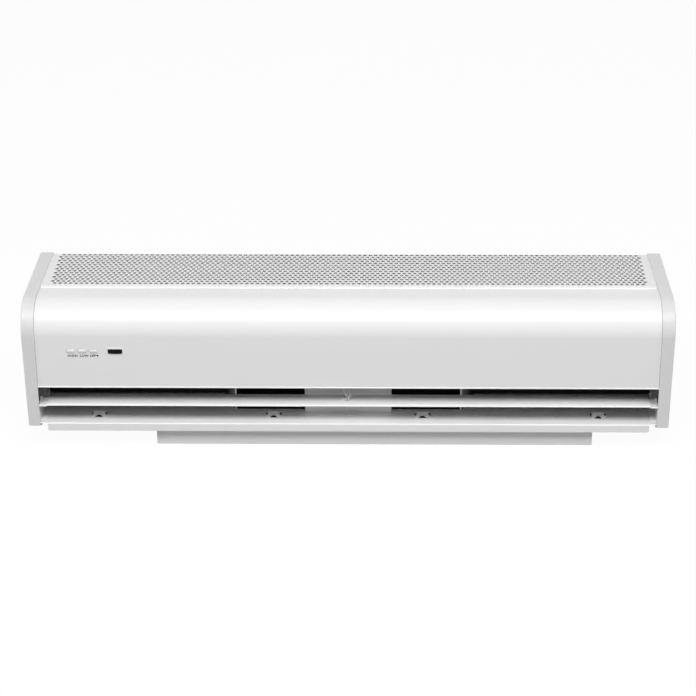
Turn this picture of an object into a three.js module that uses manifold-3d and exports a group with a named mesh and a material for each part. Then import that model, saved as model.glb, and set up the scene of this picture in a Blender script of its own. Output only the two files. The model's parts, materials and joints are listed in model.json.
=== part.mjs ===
// An air curtain, lying on its wall side: the outlet faces -Y, the intake grille faces +Z and
// the wall bracket is underneath. Millimetres. The pieces are laid out in the casing's own
// frame: X along the unit from its middle, Y back from the outlet edge, Z up from the bottom
// edge of the end caps. The group at the end moves that frame to the wall plane.
import * as THREE from "three";
import { mergeVertices } from "three/addons/utils/BufferGeometryUtils.js";
import Module from "manifold-3d";

const wasm = await Module();
wasm.setup();

// Sizes of the whole unit.
const overall = { length: 900, depth: 194, height: 182, wallStandoff: 34.5 };
const sheet = 1.2; // folded steel
const gap = 0.3; // between pieces that seat on each other
const over = 1; // how far a cutting or joining shape runs past the face that it meets
const hair = 0.01; // shorter than any edge
const arc = { large: 10, largeSteps: 10, smallSteps: 3 }; // steps of a rounded corner

// The casing.
const cap = { width: 18, wall: 3, proud: 1.5, frontRadius: 44, edgeRadius: 2 };
const chassis = { floorTop: 4.8, lipDrop: 12.2, lipSetback: 0.3, lipInset: 10, rearFlange: 22 };
const tab = { inner: 105, fromEnd: 98, width: 16, rise: 2.8, front: 21, back: 37 };
const tabForm = { arch: 5, slope: 6, root: 1, sideSlot: 3, frontSlot: 1.5 };
const bend = { fold: 1.5, lip: 2, rear: 3 };
const cover = { bottom: 60.7, hem: 12, seam: 75, flange: 12 };
const grille = { flange: 14, margin: 24, pitchX: 36, pitchY: 21, hole: 7, border: 12, holeSides: 6 };
const rearPanel = { joggle: 12, bottomFlange: 16 };
const sidePlate = { foot: 8, footDepth: 60 };
const bracket = { length: 613.6, centre: 36.8, front: 12, depth: 140, lip: 18, sheet: 1.6 };
const bracketHole = { radius: 4.5, pitch: 180, rows: [45, 115] };

// The outlet and its vane.
const duct = { ceilingGap: 0.3, deepBack: 95, centreFace: 35, wingRun: 18 };
const vane = { rear: 33, front: 2.8, underside: 33, thickness: 1.4, nose: 1.6 };
const vanePivot = { y: 17, drop: 1.5, pin: 2.2, hole: 2.9, reach: 4 };
const vaneEnd = { block: 10, depth: 3.5, front: 1.2, ear: 4.2, earWidth: 2 };
const vaneTongue = { length: 14, front: 6, setback: 3 };
const vaneNotch = { halfWidth: 4.2, front: 12.9 };
const support = { thickness: 2, column: 7.6, head: 3.5, bore: 1.7, foot: 8, footReach: 4, arm: 5 };
const clip = { halfWidth: 9, front: 7, rear: 24, plate: 1.5, ear: 2, pin: 1.3 };
const clipHook = { neck: 3, reach: 2, height: 9 };

// The blowers. Their common axis runs along X.
const axle = { y: 107, z: 92, shaft: 4, past: 6 };
const wheel = { centre: 110, width: 80, outer: 50, bladeDepth: 9, blades: 18, blade: 1.1 };
const wheelRing = { width: 2, depth: 4 };
const wheelSweep = 0.28; // radians that a blade leans forward
// Round pieces that seat on each other share a number of sides, so that their flats line up.
const sides = { motor: 20, shaft: 16, seat: 16, ring: 22, small: 12, screw: 8 };
const hub = { outer: 8, length: 24, flange: 20, plate: 2 };
const scroll = { sideGap: 8.2, tongueGap: 6, tongueAngle: 213, front: 44.5, steps: 30 };
const tongueEase = { air: 0.6, outside: 1.5 }; // how far before the tongue its neck turns
const inlet = { step: 1, access: 1.5, flange: 5.5, lip: 7 };
const motor = { radius: 45, wall: 1.5, canHalf: 26, bellPlate: 2.5, bellReach: 41 };
const stator = { inner: 27, half: 18, windingSpace: 3.5, windingInner: 29.5, windingHalf: 24 };
const bearing = { outer: 11, width: 7, inset: 1, seatWall: 2.7 };
const cradle = { half: 24, plate: 2, saddle: 20, margin: 6, ledge: 5.5, drop: 2 };
const strap = { half: 8, thickness: 1.2 };

// The controls, behind the left end of the cover. Their X is counted from the left end.
const control = { height: 116.5, firstButton: 67, window: 128.7 };
const button = { width: 12.3, height: 5.4, spacing: 1.5, front: 0.4, travel: 1 };
const buttonBack = { rim: 1.1, flange: 1, stem: 1.5 };
const lens = { width: 20.2, height: 6.9, front: 0.9, corner: 1.2, rim: 1.4, flange: 2 };
const lamp = { fromEnd: 104, drop: 7, radius: 1.1, front: 1.2, collar: 1.7 };
const carrier = { left: 54, right: 144, reach: 15.5, rim: 1.5, pocket: 2.3, plate: 1.5 };
const post = { radius: 3, length: 6.6, inset: 4 };
const stemClearance = 0.4;
const tact = { size: 6, depth: 3.4, plunger: 1.7, plungerReach: 0.7 };
const receiver = { width: 8, height: 6, depth: 5.5, dome: 2.4, domeHalf: 2.5 };
const board = { thickness: 1.6, margin: 4 };
const relay = { width: 16, pitch: 18, depth: 14, height: 15, inset: 4, count: 2 };
const choke = { radius: 7, reach: 8, fromRight: 12 };

// The electrical pieces on the floor behind the outlet, placed from the left end.
const terminal = { left: 52, right: 98, front: 138, back: 160, height: 20, ways: 3 };
const terminalWell = { radius: 3, depth: 7, inset: 6.2 };
const terminalMouth = { half: 3, depth: 5, low: 4, high: 10 };
const capacitor = { left: 120, right: 180, y: 150, radius: 15 };
const blade = { thickness: 1, width: 6, length: 8, spread: 6 };
const capClip = { width: 14, thickness: 1, foot: 8 };
const grommet = { fromEnd: 75, z: 40, bore: 4, neck: 6.7, flange: 10, lip: 1, inside: 2 };
const lead = { radius: 3, sides: 8, motorSteps: 30, controlSteps: 18, backSpace: 14, slope: -35 };

// The fasteners.
const capScrew = { places: [[60, 120], [150, 60]], shank: 2, head: 3.8, headDepth: 1.4, reach: 20 };
const capBoss = { radius: 5, clearance: 0.4, recessDepth: 2 };
const bracketScrew = { places: [-200, 200], shank: 2.1, head: 4, headDepth: 2.8, rise: 10 };

// Places that follow from the sizes above.
const halfLength = overall.length / 2;
const rimEnd = halfLength - cap.width; // inner edge of an end cap
const skinEnd = rimEnd - gap;
const skin = { front: cap.proud, top: overall.height - cap.proud, back: overall.depth - cap.proud };
const floorUnder = chassis.floorTop - sheet;
const floorSeat = chassis.floorTop + gap; // where pieces stand on the floor
const insideTop = skin.top - sheet;
const rearInner = skin.back - sheet; // inner face of the rear panel
const rearFlangeFace = rearInner - gap - sheet; // front face of the chassis' rear flange
const bracketBack = bracket.front + bracket.depth;
const bracketScrewY = bracketBack - bracket.lip / 2;
const ceiling = cover.bottom + sheet + duct.ceilingGap; // underside of the duct ceiling
const ductTop = ceiling - gap; // top of what stands under the ceiling
const plateX = rimEnd + gap; // inner face of a side plate
const vaneOuter = plateX - 2 * gap;
const vaneHalf = vaneOuter - vaneEnd.block - gap; // half length of the blade
const vaneTop = vane.underside + vane.thickness;
const pivot = { y: vanePivot.y, z: vane.underside - vanePivot.drop };
const shaftBore = axle.shaft + gap;
const shaftHalf = wheel.centre + hub.length / 2 + axle.past;
const wheelInner = wheel.outer - wheel.bladeDepth;
const scrollHalf = wheel.width / 2 + scroll.sideGap;
const scrollInner = wheel.centre - scrollHalf; // air space of a scroll along X
const scrollOuter = wheel.centre + scrollHalf;
const scrollFloor = floorSeat + sheet; // air side of a scroll's bottom wall
const tongueRadius = wheel.outer + scroll.tongueGap;
const neckTop = ductTop - sheet;
const inletBore = wheelInner - inlet.step;
const inletAccess = wheel.outer + inlet.access; // the wheel passes through it
const canBore = motor.radius - motor.wall;
const cradleReach = motor.radius + cradle.margin;
const ledgeTop = axle.z - cradle.drop;
const coverBack = skin.front + sheet; // inner face of the cover's front wall
const pocketFront = coverBack + gap;
const carrierFront = pocketFront + carrier.pocket;
const carrierBack = carrierFront + carrier.plate;
const boardFront = carrierBack + post.length + gap;
const switchFace = boardFront - gap - tact.depth - tact.plungerReach;
const buttonPitch = button.width + 2 * buttonBack.rim + button.spacing;

// Closed geometry as a solid that can be joined and cut.
function solidOf(geometry) {
  geometry.deleteAttribute("normal");
  geometry.deleteAttribute("uv");
  const merged = mergeVertices(geometry);
  const triVerts = new Uint32Array(merged.index.array);
  const vertProperties = merged.attributes.position.array;
  return new wasm.Manifold(new wasm.Mesh({ numProp: 3, vertProperties, triVerts }));
}

function join(...solids) {
  return solids.reduce((whole, next) => whole.add(next));
}

function cut(solid, ...tools) {
  return tools.reduce((rest, tool) => rest.subtract(tool), solid);
}

function box([x0, x1], [y0, y1], [z0, z1]) {
  const geometry = new THREE.BoxGeometry(x1 - x0, y1 - y0, z1 - z0);
  geometry.translate((x0 + x1) / 2, (y0 + y1) / 2, (z0 + z1) / 2);
  return solidOf(geometry);
}

// The same stretch of X on either side of the middle, lowest value first.
function spanX(side, from, to) {
  return side > 0 ? [from, to] : [-to, -from];
}

function around(middle, half) {
  return [middle - half, middle + half];
}

function fromLeft(distance) {
  return distance - halfLength;
}

function extrude(outline, depth) {
  const shape = new THREE.Shape(outline.map(([u, v]) => new THREE.Vector2(u, v)));
  return new THREE.ExtrudeGeometry(shape, { depth, bevelEnabled: false });
}

// Outlines in (Y, Z), (X, Z) and (X, Y), extruded along the third axis.
function alongX(outline, [x0, x1]) {
  const turn = new THREE.Matrix4().makeBasis(
    new THREE.Vector3(0, 1, 0), new THREE.Vector3(0, 0, 1), new THREE.Vector3(1, 0, 0));
  return solidOf(extrude(outline, x1 - x0).applyMatrix4(turn).translate(x0, 0, 0));
}

function alongY(outline, [y0, y1]) {
  return solidOf(extrude(outline, y1 - y0).rotateX(Math.PI / 2).translate(0, y1, 0));
}

function alongZ(outline, [z0, z1]) {
  return solidOf(extrude(outline, z1 - z0).translate(0, 0, z0));
}

// A closed profile of [radius, x] points turned about an axis along X.
function turned(profile, { y, z }, segments = sides.ring) {
  const area = profile.reduce((sum, [r, x], i) => {
    const [nextR, nextX] = profile[(i + 1) % profile.length];
    return sum + r * nextX - nextR * x;
  }, 0);
  const ordered = area > 0 ? profile : [...profile].reverse();
  const points = [...ordered, ordered[0]].map(([r, x]) => new THREE.Vector2(r, x));
  const geometry = new THREE.LatheGeometry(points, segments);
  return solidOf(geometry.rotateZ(-Math.PI / 2).translate(0, y, z));
}

function tube(inner, outer, [x0, x1], at, segments) {
  return turned([[inner, x0], [outer, x0], [outer, x1], [inner, x1]], at, segments);
}

function rodX(radius, [x0, x1], { y, z }, count = sides.small) {
  const geometry = new THREE.CylinderGeometry(radius, radius, x1 - x0, count);
  return solidOf(geometry.rotateZ(-Math.PI / 2).translate((x0 + x1) / 2, y, z));
}

function rodY(radius, [y0, y1], { x, z }, count = sides.small) {
  const geometry = new THREE.CylinderGeometry(radius, radius, y1 - y0, count);
  return solidOf(geometry.translate(x, (y0 + y1) / 2, z));
}

function rodZ(radius, [z0, z1], { x, y }, count = sides.small) {
  const geometry = new THREE.CylinderGeometry(radius, radius, z1 - z0, count);
  return solidOf(geometry.rotateX(Math.PI / 2).translate(x, y, (z0 + z1) / 2));
}

// A line of [u, v, radius] corners, each rounded by its radius, as plain points.
function rounded(corners, closed = false) {
  const points = [];
  corners.forEach(([u, v, radius = 0], i) => {
    const isEnd = !closed && (i === 0 || i === corners.length - 1);
    if (isEnd || radius <= 0) {
      points.push([u, v]);
      return;
    }
    const at = new THREE.Vector2(u, v);
    const before = corners[(i + corners.length - 1) % corners.length];
    const after = corners[(i + 1) % corners.length];
    const back = new THREE.Vector2(before[0], before[1]).sub(at).normalize();
    const on = new THREE.Vector2(after[0], after[1]).sub(at).normalize();
    const half = Math.acos(back.dot(on)) / 2;
    const centre = back.clone().add(on).normalize().multiplyScalar(radius / Math.sin(half)).add(at);
    const start = back.clone().multiplyScalar(radius / Math.tan(half)).add(at).sub(centre);
    const sweep = (Math.PI - 2 * half) * Math.sign(on.cross(back));
    const steps = radius > arc.large ? arc.largeSteps : arc.smallSteps;
    for (let k = 0; k <= steps; k++) {
      const p = start.clone().rotateAround(new THREE.Vector2(), (sweep * k) / steps).add(centre);
      points.push([p.x, p.y]);
    }
  });
  return points.filter(([u, v], i) => {
    const [lastU, lastV] = points[Math.max(i - 1, 0)];
    return i === 0 || Math.hypot(u - lastU, v - lastV) > hair;
  });
}

// The outline of a folded sheet: its face follows the line, its thickness lies to the right.
function foldedSheet(corners, thickness = sheet) {
  const face = rounded(corners).map(([u, v]) => new THREE.Vector2(u, v));
  const rightOf = (a, b) => new THREE.Vector2(b.y - a.y, a.x - b.x).normalize();
  const reverse = face.map((point, i) => {
    const before = i > 0 ? rightOf(face[i - 1], point) : rightOf(point, face[1]);
    const after = i < face.length - 1 ? rightOf(point, face[i + 1]) : before;
    const mitre = before.clone().add(after).normalize();
    return mitre.multiplyScalar(thickness / mitre.dot(before)).add(point);
  });
  return [...face, ...reverse.reverse()].map((point) => [point.x, point.y]);
}

// The end caps' outline in (Y, Z), drawn in by inset.
function casingOutline(inset) {
  const edge = cap.edgeRadius - inset;
  const low = inset;
  const high = overall.height - inset;
  const back = overall.depth - inset;
  return rounded([[low, low, edge], [back, low, edge], [back, high, edge],
    [low, high, cap.frontRadius - inset]], true);
}

// A flat rectangle with rounded corners, centred on (x, z).
function softBox({ x, z }, { width, height, corner }, grow = 0) {
  const [left, right] = around(x, width / 2 + grow);
  const [low, high] = around(z, height / 2 + grow);
  return rounded([[left, low, corner], [right, low, corner], [right, high, corner],
    [left, high, corner]], true);
}

function pill(at, { width, height }, grow = 0) {
  return softBox(at, { width, height, corner: height / 2 + grow - hair }, grow);
}

function tabPlaces() {
  const outer = halfLength - tab.fromEnd;
  return [-outer, -tab.inner, tab.inner, outer];
}

// Floor of the outlet and wall side of the casing, with its turned-down lip and lanced tabs.
function chassisSolid() {
  const lipY = chassis.lipSetback;
  const lipBottom = chassis.floorTop - chassis.lipDrop;
  const section = foldedSheet([
    [lipY, lipBottom],
    [lipY, chassis.floorTop, bend.lip],
    [rearFlangeFace, chassis.floorTop, bend.fold],
    [rearFlangeFace, chassis.floorTop + chassis.rearFlange],
  ]);
  const through = [floorUnder - over, chassis.floorTop + over];
  const notches = [-1, 1].map((side) => box(spanX(side, skinEnd - chassis.lipInset, skinEnd + over),
    [-over, bend.lip + sheet], [lipBottom - over, floorUnder]));
  const windows = tabPlaces().map((x) => box(around(x, tab.width / 2 + tabForm.sideSlot),
    [tab.front - tabForm.frontSlot, tab.back], through));
  const screwHoles = bracketScrew.places.map((x) =>
    rodZ(bracketScrew.shank + gap, through, { x, y: bracketScrewY }, sides.screw));
  const plate = cut(alongX(section, [-skinEnd, skinEnd]), ...notches, ...windows, ...screwHoles);
  return join(plate, ...tabPlaces().map(tabSolid));
}

// A tongue lanced out of the floor, raised at its front and arched underneath.
function tabSolid(x) {
  const wide = around(x, tab.width / 2);
  const rise = chassis.floorTop + tab.rise;
  const upTo = [floorUnder, rise + over];
  const tongue = alongX(foldedSheet([
    [tab.front, rise],
    [tab.back - tabForm.slope, rise, bend.fold],
    [tab.back + tabForm.root, chassis.floorTop],
  ]), wide);
  const arch = rodZ(tabForm.arch, upTo, { x, y: tab.front });
  const root = box(wide, [tab.back - tabForm.root / 2, tab.back + tabForm.root],
    [floorUnder, chassis.floorTop]);
  const above = box(around(x, tab.width), [0, tab.back + 2 * tabForm.root], upTo);
  return join(cut(tongue, arch).intersect(above), root);
}

function coverSolid() {
  const section = foldedSheet([
    [skin.front + cover.hem, cover.bottom],
    [skin.front, cover.bottom, bend.fold],
    [skin.front, skin.top, cap.frontRadius - cap.proud],
    [cover.seam - gap, skin.top, bend.fold],
    [cover.seam - gap, skin.top - cover.flange],
  ]);
  const through = [skin.front - over, coverBack + over];
  const holes = buttonPlaces().map((at) => alongY(pill(at, button, gap), through));
  const lensHole = alongY(softBox(windowPlace(), lens, gap), through);
  const lampHole = rodY(lamp.radius + gap, through, lampPlace());
  return cut(alongX(section, [-skinEnd, skinEnd]), ...holes, lensHole, lampHole);
}

// The intake: a folded sheet with a staggered field of holes.
function grilleSolid() {
  const front = cover.seam + gap;
  const section = foldedSheet([
    [front, skin.top - cover.flange],
    [front, skin.top, bend.fold],
    [skin.back, skin.top, bend.rear],
    [skin.back, skin.top - grille.flange],
  ]);
  const border = grille.border + grille.hole;
  const run = skin.back - front - 2 * border;
  const rows = Math.floor(run / grille.pitchY) + 1;
  const firstY = (front + skin.back - (rows - 1) * grille.pitchY) / 2;
  const evenCount = 2 * Math.floor((skinEnd - grille.margin) / grille.pitchX) + 1;
  const holes = [];
  for (let row = 0; row < rows; row++) {
    const count = row % 2 ? evenCount - 1 : evenCount;
    const firstX = (-(count - 1) * grille.pitchX) / 2;
    for (let k = 0; k < count; k++) {
      const at = { x: firstX + k * grille.pitchX, y: firstY + row * grille.pitchY };
      holes.push(rodZ(grille.hole, [insideTop - over, skin.top + over], at, grille.holeSides));
    }
  }
  return alongX(section, [-skinEnd, skinEnd]).subtract(join(...holes));
}

// Back of the casing. Its top edge steps inwards, behind the grille's rear flange.
function rearPanelSolid() {
  const stepTop = skin.top - grille.flange - gap;
  const bottom = floorUnder - gap - sheet;
  const section = foldedSheet([
    [rearInner - gap, stepTop + rearPanel.joggle],
    [rearInner - gap, stepTop],
    [skin.back, stepTop - 2 * bend.fold],
    [skin.back, bottom, bend.rear],
    [skin.back - rearPanel.bottomFlange, bottom],
  ]);
  const through = [rearInner - over, skin.back + over];
  const hole = rodY(grommet.neck + gap, through, grommetPlace(), sides.seat);
  return alongX(section, [-skinEnd, skinEnd]).subtract(hole);
}

// A moulded cap: a shell open towards the casing, with two screw bosses.
function endCapSolid(side) {
  const shell = cut(
    alongX(casingOutline(0), spanX(side, rimEnd, halfLength)),
    alongX(casingOutline(cap.wall), spanX(side, rimEnd - over, halfLength - cap.wall)));
  const bossReach = spanX(side, plateX + sheet + gap, halfLength - cap.wall + over);
  const boreReach = spanX(side, plateX, halfLength + over);
  const recessReach = spanX(side, halfLength - capBoss.recessDepth, halfLength + over);
  const bosses = capScrew.places.map(([y, z]) => rodX(capBoss.radius, bossReach, { y, z }));
  const bores = capScrew.places.map(([y, z]) => join(
    rodX(capScrew.shank + capBoss.clearance, boreReach, { y, z }, sides.screw),
    rodX(capScrew.head + capBoss.clearance, recessReach, { y, z })));
  return cut(join(shell, ...bosses), ...bores);
}

// Steel plate inside each cap. Its foot strip lies on the outlet floor.
function sidePlateSolid(side) {
  const inset = cap.wall + gap;
  const through = spanX(side, plateX - over, plateX + sheet + over);
  const plate = alongX(casingOutline(inset), spanX(side, plateX, plateX + sheet));
  const foot = box(spanX(side, rimEnd - sidePlate.foot, plateX + sheet),
    [inset, sidePlate.footDepth], [floorSeat, floorSeat + sheet]);
  const pinHole = rodX(vanePivot.hole, through, pivot);
  const screwHoles = capScrew.places.map(([y, z]) =>
    rodX(capScrew.shank + capBoss.clearance, through, { y, z }, sides.screw));
  return cut(join(plate, foot), pinHole, ...screwHoles);
}

// Channel on the wall side, its lips under the casing's floor.
function bracketSolid() {
  const lipTop = floorUnder - gap;
  const wall = -overall.wallStandoff;
  const section = foldedSheet([
    [bracketBack - bracket.lip, lipTop],
    [bracketBack, lipTop, bend.fold],
    [bracketBack, wall, bend.fold],
    [bracket.front, wall, bend.fold],
    [bracket.front, lipTop, bend.fold],
    [bracket.front + bracket.lip, lipTop],
  ], bracket.sheet);
  const throughWall = [wall - over, wall + bracket.sheet + over];
  const throughLip = [lipTop - bracket.sheet - over, lipTop + over];
  const wallHoles = bracketHole.rows.flatMap((row) => [-1, 0, 1].map((k) => {
    const at = { x: bracket.centre + k * bracketHole.pitch, y: bracket.front + row };
    return rodZ(bracketHole.radius, throughWall, at);
  }));
  const screwHoles = bracketScrew.places.map((x) =>
    rodZ(bracketScrew.shank + gap, throughLip, { x, y: bracketScrewY }, sides.screw));
  return cut(alongX(section, around(bracket.centre, bracket.length / 2)), ...wallHoles, ...screwHoles);
}

function bracketScrewSolid(x) {
  const headTop = floorUnder - gap - bracket.sheet - gap;
  const at = { x, y: bracketScrewY };
  return join(rodZ(bracketScrew.head, [headTop - bracketScrew.headDepth, headTop], at),
    rodZ(bracketScrew.shank, [headTop - over, headTop + bracketScrew.rise], at, sides.screw));
}

function capScrewSolid(side, [y, z]) {
  const headOut = halfLength - gap;
  const headIn = headOut - capScrew.headDepth;
  const shank = spanX(side, headIn - capScrew.reach, headIn + over);
  return join(rodX(capScrew.head, spanX(side, headIn, headOut), { y, z }),
    rodX(capScrew.shank, shank, { y, z }, sides.screw));
}

// Top of the outlet duct: shallow in front of the blowers, deep beside them.
function ceilingSolid() {
  const wing = scrollOuter + 2 * sheet + 4 * gap;
  const front = coverBack + gap;
  const shallow = scroll.front - gap;
  const deep = duct.deepBack + sheet;
  const outline = [[-skinEnd, front], [skinEnd, front], [skinEnd, deep], [wing, deep],
    [wing, shallow], [-wing, shallow], [-wing, deep], [-skinEnd, deep]];
  return alongZ(outline, [ceiling, ceiling + sheet]);
}

// Closes the deep part of the duct: from beside the blower's mouth back, then out to the end.
function ductBackSolid(side) {
  const start = scrollOuter + sheet + 2 * gap;
  const line = [[start, scroll.front + gap], [start + duct.wingRun, duct.deepBack, bend.fold],
    [skinEnd, duct.deepBack]];
  const outline = foldedSheet(line).map(([x, y]) => [side * x, y]);
  return alongZ(outline, [floorSeat, ductTop]);
}

// Front of the motor bay, between the two blower mouths.
function centrePlateSolid() {
  const half = scrollInner - sheet / 2;
  const back = scroll.front - gap;
  const outline = foldedSheet([[-half, back], [-half, duct.centreFace, bend.fold],
    [half, duct.centreFace, bend.fold], [half, back]], -sheet);
  return alongZ(outline, [floorSeat, ductTop]);
}

function vaneBladeSolid() {
  const span = [-vaneHalf, vaneHalf];
  const nose = { y: vane.front, z: vane.underside + vane.thickness / 2 };
  const plate = join(box(span, [vane.front, vane.rear], [vane.underside, vaneTop]),
    rodX(vane.nose, span, nose));
  const notch = box(around(0, vaneNotch.halfWidth),
    [vaneNotch.front, vane.rear + over], [vane.underside - over, vaneTop + over]);
  return plate.subtract(notch);
}

// End piece: a tongue under the blade, a block beside it, and the pivot pin.
function vaneEndSolid(side) {
  const top = vane.underside - gap;
  const deep = [top - vaneEnd.depth, top];
  const inner = vaneHalf + gap;
  const nose = { y: vaneEnd.front + vane.nose, z: deep[0] + vane.nose };
  return join(
    box(spanX(side, inner - vaneTongue.length, inner + over),
      [vaneTongue.front, vane.rear - vaneTongue.setback], deep),
    box(spanX(side, inner, vaneOuter), [nose.y, vane.rear], deep),
    rodX(vane.nose, spanX(side, inner, vaneOuter), nose),
    rodX(vaneEnd.ear, spanX(side, vaneOuter - vaneEnd.earWidth, vaneOuter), pivot),
    rodX(vanePivot.pin, spanX(side, vaneOuter - over, vaneOuter + vanePivot.reach), pivot));
}

// Thin fin between floor and ceiling whose arm carries the middle of the vane.
function vaneSupportSolid() {
  const half = support.thickness / 2;
  const back = duct.centreFace - gap;
  const front = back - support.column;
  const fin = box([-half, half], [front, back], [floorSeat, ductTop]);
  const arm = box([-half, half], [pivot.y, back], around(pivot.z, support.arm / 2));
  const head = rodX(support.head, [-half, half], pivot);
  const foot = box([-half, half + support.foot], [front - support.footReach, back],
    [floorSeat, floorSeat + sheet]);
  const bore = rodX(support.bore, around(0, half + over), pivot);
  return join(fin, arm, head, foot).subtract(bore);
}

// Clip under the blade that straddles the fin, with its cross pin and a catch above the blade.
function vaneClipSolid() {
  const top = vane.underside - gap;
  const inside = support.thickness / 2 + 2 * gap;
  const plateZ = [top - clip.plate, top];
  const bridge = box(around(0, clip.halfWidth), [clip.front, vaneNotch.front - gap], plateZ);
  const arms = [-1, 1].flatMap((side) => [
    box(spanX(side, inside, clip.halfWidth), [clip.front, clip.rear], plateZ),
    rodX(support.head, spanX(side, inside, inside + clip.ear), pivot),
  ]);
  const pin = rodX(clip.pin, around(0, inside + over), pivot);
  const catchZ = vaneTop + gap;
  const catchBack = clip.rear + clipHook.reach;
  const neck = box([-inside - clip.ear, -inside], around(pivot.y, clipHook.neck),
    [pivot.z, catchZ + sheet]);
  const plate = box([-clip.halfWidth, -inside], [pivot.y - clipHook.neck, catchBack],
    [catchZ, catchZ + sheet]);
  const hook = box([-clip.halfWidth, -clip.halfWidth + clip.plate], [pivot.y + over, catchBack],
    [catchZ, catchZ + clipHook.height]);
  return join(bridge, ...arms, pin, neck, plate, hook);
}

// Air side of a scroll: the spiral grows from the tongue round to the floor.
function scrollLine(grow) {
  const floorRadius = axle.z - scrollFloor;
  const sweep = scroll.tongueAngle + 90;
  return Array.from({ length: scroll.steps + 1 }, (_, i) => {
    const share = i / scroll.steps;
    const angle = THREE.MathUtils.degToRad(scroll.tongueAngle - sweep * share);
    const radius = tongueRadius + (floorRadius - tongueRadius) * share + grow;
    return [axle.y + radius * Math.cos(angle), axle.z + radius * Math.sin(angle)];
  });
}

function scrollSolid(side) {
  const inner = scrollLine(0);
  const outer = scrollLine(sheet)
    .filter(([y, z]) => z > neckTop + sheet || y > axle.y - wheel.outer);
  const tongueY = inner[0][0];
  const front = scroll.front;
  const neckOuter = [[front, floorSeat], [front, neckTop + sheet],
    [tongueY - tongueEase.outside, neckTop + sheet]];
  const neckInner = [[front - over, scrollFloor], [front - over, neckTop],
    [tongueY - tongueEase.air, neckTop]];
  const housing = cut(
    alongX([...neckOuter, ...outer], spanX(side, scrollInner - sheet, scrollOuter + sheet)),
    alongX([...neckInner, ...inner], spanX(side, scrollInner, scrollOuter)));
  const motorSide = spanX(side, scrollInner - sheet - over, scrollInner + over);
  const openSide = spanX(side, scrollOuter - over, scrollOuter + sheet + over);
  return cut(housing, rodX(inletBore, motorSide, axle, sides.ring),
    rodX(inletAccess, openSide, axle, sides.ring));
}

// Flanged ring on a scroll's open side, with a lip that leads air into the wheel.
function inletRingSolid(side) {
  const face = scrollOuter + sheet + gap;
  const rim = inletAccess + inlet.flange;
  const profile = [[inletBore, face - inlet.lip], [inletBore + sheet, face - inlet.lip],
    [inletBore + sheet, face], [rim, face], [rim, face + sheet], [inletBore, face + sheet]];
  return turned(profile.map(([r, x]) => [r, side * x]), axle);
}

// A drum of forward-leaning blades between two rings, on a disc at its middle.
function wheelSolid(side) {
  const [from, to] = spanX(side, ...around(wheel.centre, wheel.width / 2));
  const middle = spanX(side, ...around(wheel.centre, wheelRing.width / 2));
  const ringInner = wheel.outer - wheelRing.depth;
  const rings = [[from, from + wheelRing.width], [to - wheelRing.width, to]].map((reach) =>
    tube(ringInner, wheel.outer, reach, axle));
  const disc = tube(hub.outer + gap, wheel.outer - over, middle, axle);
  const blades = Array.from({ length: wheel.blades }, (_, i) =>
    alongX(bladeOutline((2 * Math.PI * i) / wheel.blades), [from + gap, to - gap]));
  return join(disc, ...rings, ...blades);
}

function bladeOutline(angle) {
  const outer = wheel.outer - 2 * gap;
  const corner = (share, offset) => {
    const radius = wheelInner + (outer - wheelInner) * share;
    const turn = angle + wheelSweep * share + offset / radius;
    return [axle.y + radius * Math.cos(turn), axle.z + radius * Math.sin(turn)];
  };
  const half = wheel.blade / 2;
  return [corner(0, half), corner(1, half), corner(1, -half), corner(0, -half)];
}

function hubSolid(side) {
  const face = wheel.centre + wheelRing.width / 2 + gap;
  const reach = spanX(side, ...around(wheel.centre, hub.length / 2));
  const plate = spanX(side, face, face + hub.plate);
  return join(tube(shaftBore, hub.outer, reach, axle, sides.shaft),
    tube(hub.outer - over, hub.flange, plate, axle, sides.shaft));
}

function shaftSolid() {
  return rodX(axle.shaft, [-shaftHalf, shaftHalf], axle, sides.shaft);
}

function rotorCoreSolid() {
  return tube(shaftBore, stator.inner - 2 * gap, around(0, stator.half), axle, sides.motor);
}

function canSolid() {
  return tube(canBore, motor.radius, around(0, motor.canHalf), axle, sides.motor);
}

function bellSolid(side) {
  const seat = bearing.outer + gap;
  const inner = motor.canHalf + gap;
  const rim = seat + bearing.seatWall;
  const profile = [[seat, inner], [motor.radius, inner], [motor.radius, inner + motor.bellPlate],
    [rim, inner + motor.bellPlate], [rim, motor.bellReach], [seat, motor.bellReach]];
  return turned(profile.map(([r, x]) => [r, side * x]), axle, sides.motor);
}

function bearingSolid(side) {
  const outer = motor.bellReach - bearing.inset;
  return tube(shaftBore, bearing.outer, spanX(side, outer - bearing.width, outer), axle, sides.motor);
}

function statorSolid() {
  const windingOuter = canBore - stator.windingSpace;
  return join(tube(stator.inner, canBore - gap, around(0, stator.half), axle, sides.motor),
    tube(stator.windingInner, windingOuter, around(0, stator.windingHalf), axle, sides.motor));
}

// Folded saddle on the floor: two cut-out plates joined by a base and two ledges.
function cradleSolid() {
  const wide = around(0, cradle.half);
  const [front, back] = around(axle.y, cradleReach);
  const base = box(wide, [front, back], [floorSeat, floorSeat + cradle.plate]);
  const plates = [-1, 1].map((side) => box(spanX(side, cradle.saddle, cradle.saddle + cradle.plate),
    [front, back], [floorSeat, ledgeTop]));
  const ledges = [[front, front + cradle.ledge], [back - cradle.ledge, back]].map((run) =>
    box(wide, run, [ledgeTop - cradle.plate, ledgeTop]));
  const bed = rodX(motor.radius + gap, around(0, cradle.half + over), axle, sides.motor);
  return join(base, ...plates, ...ledges).subtract(bed);
}

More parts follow.
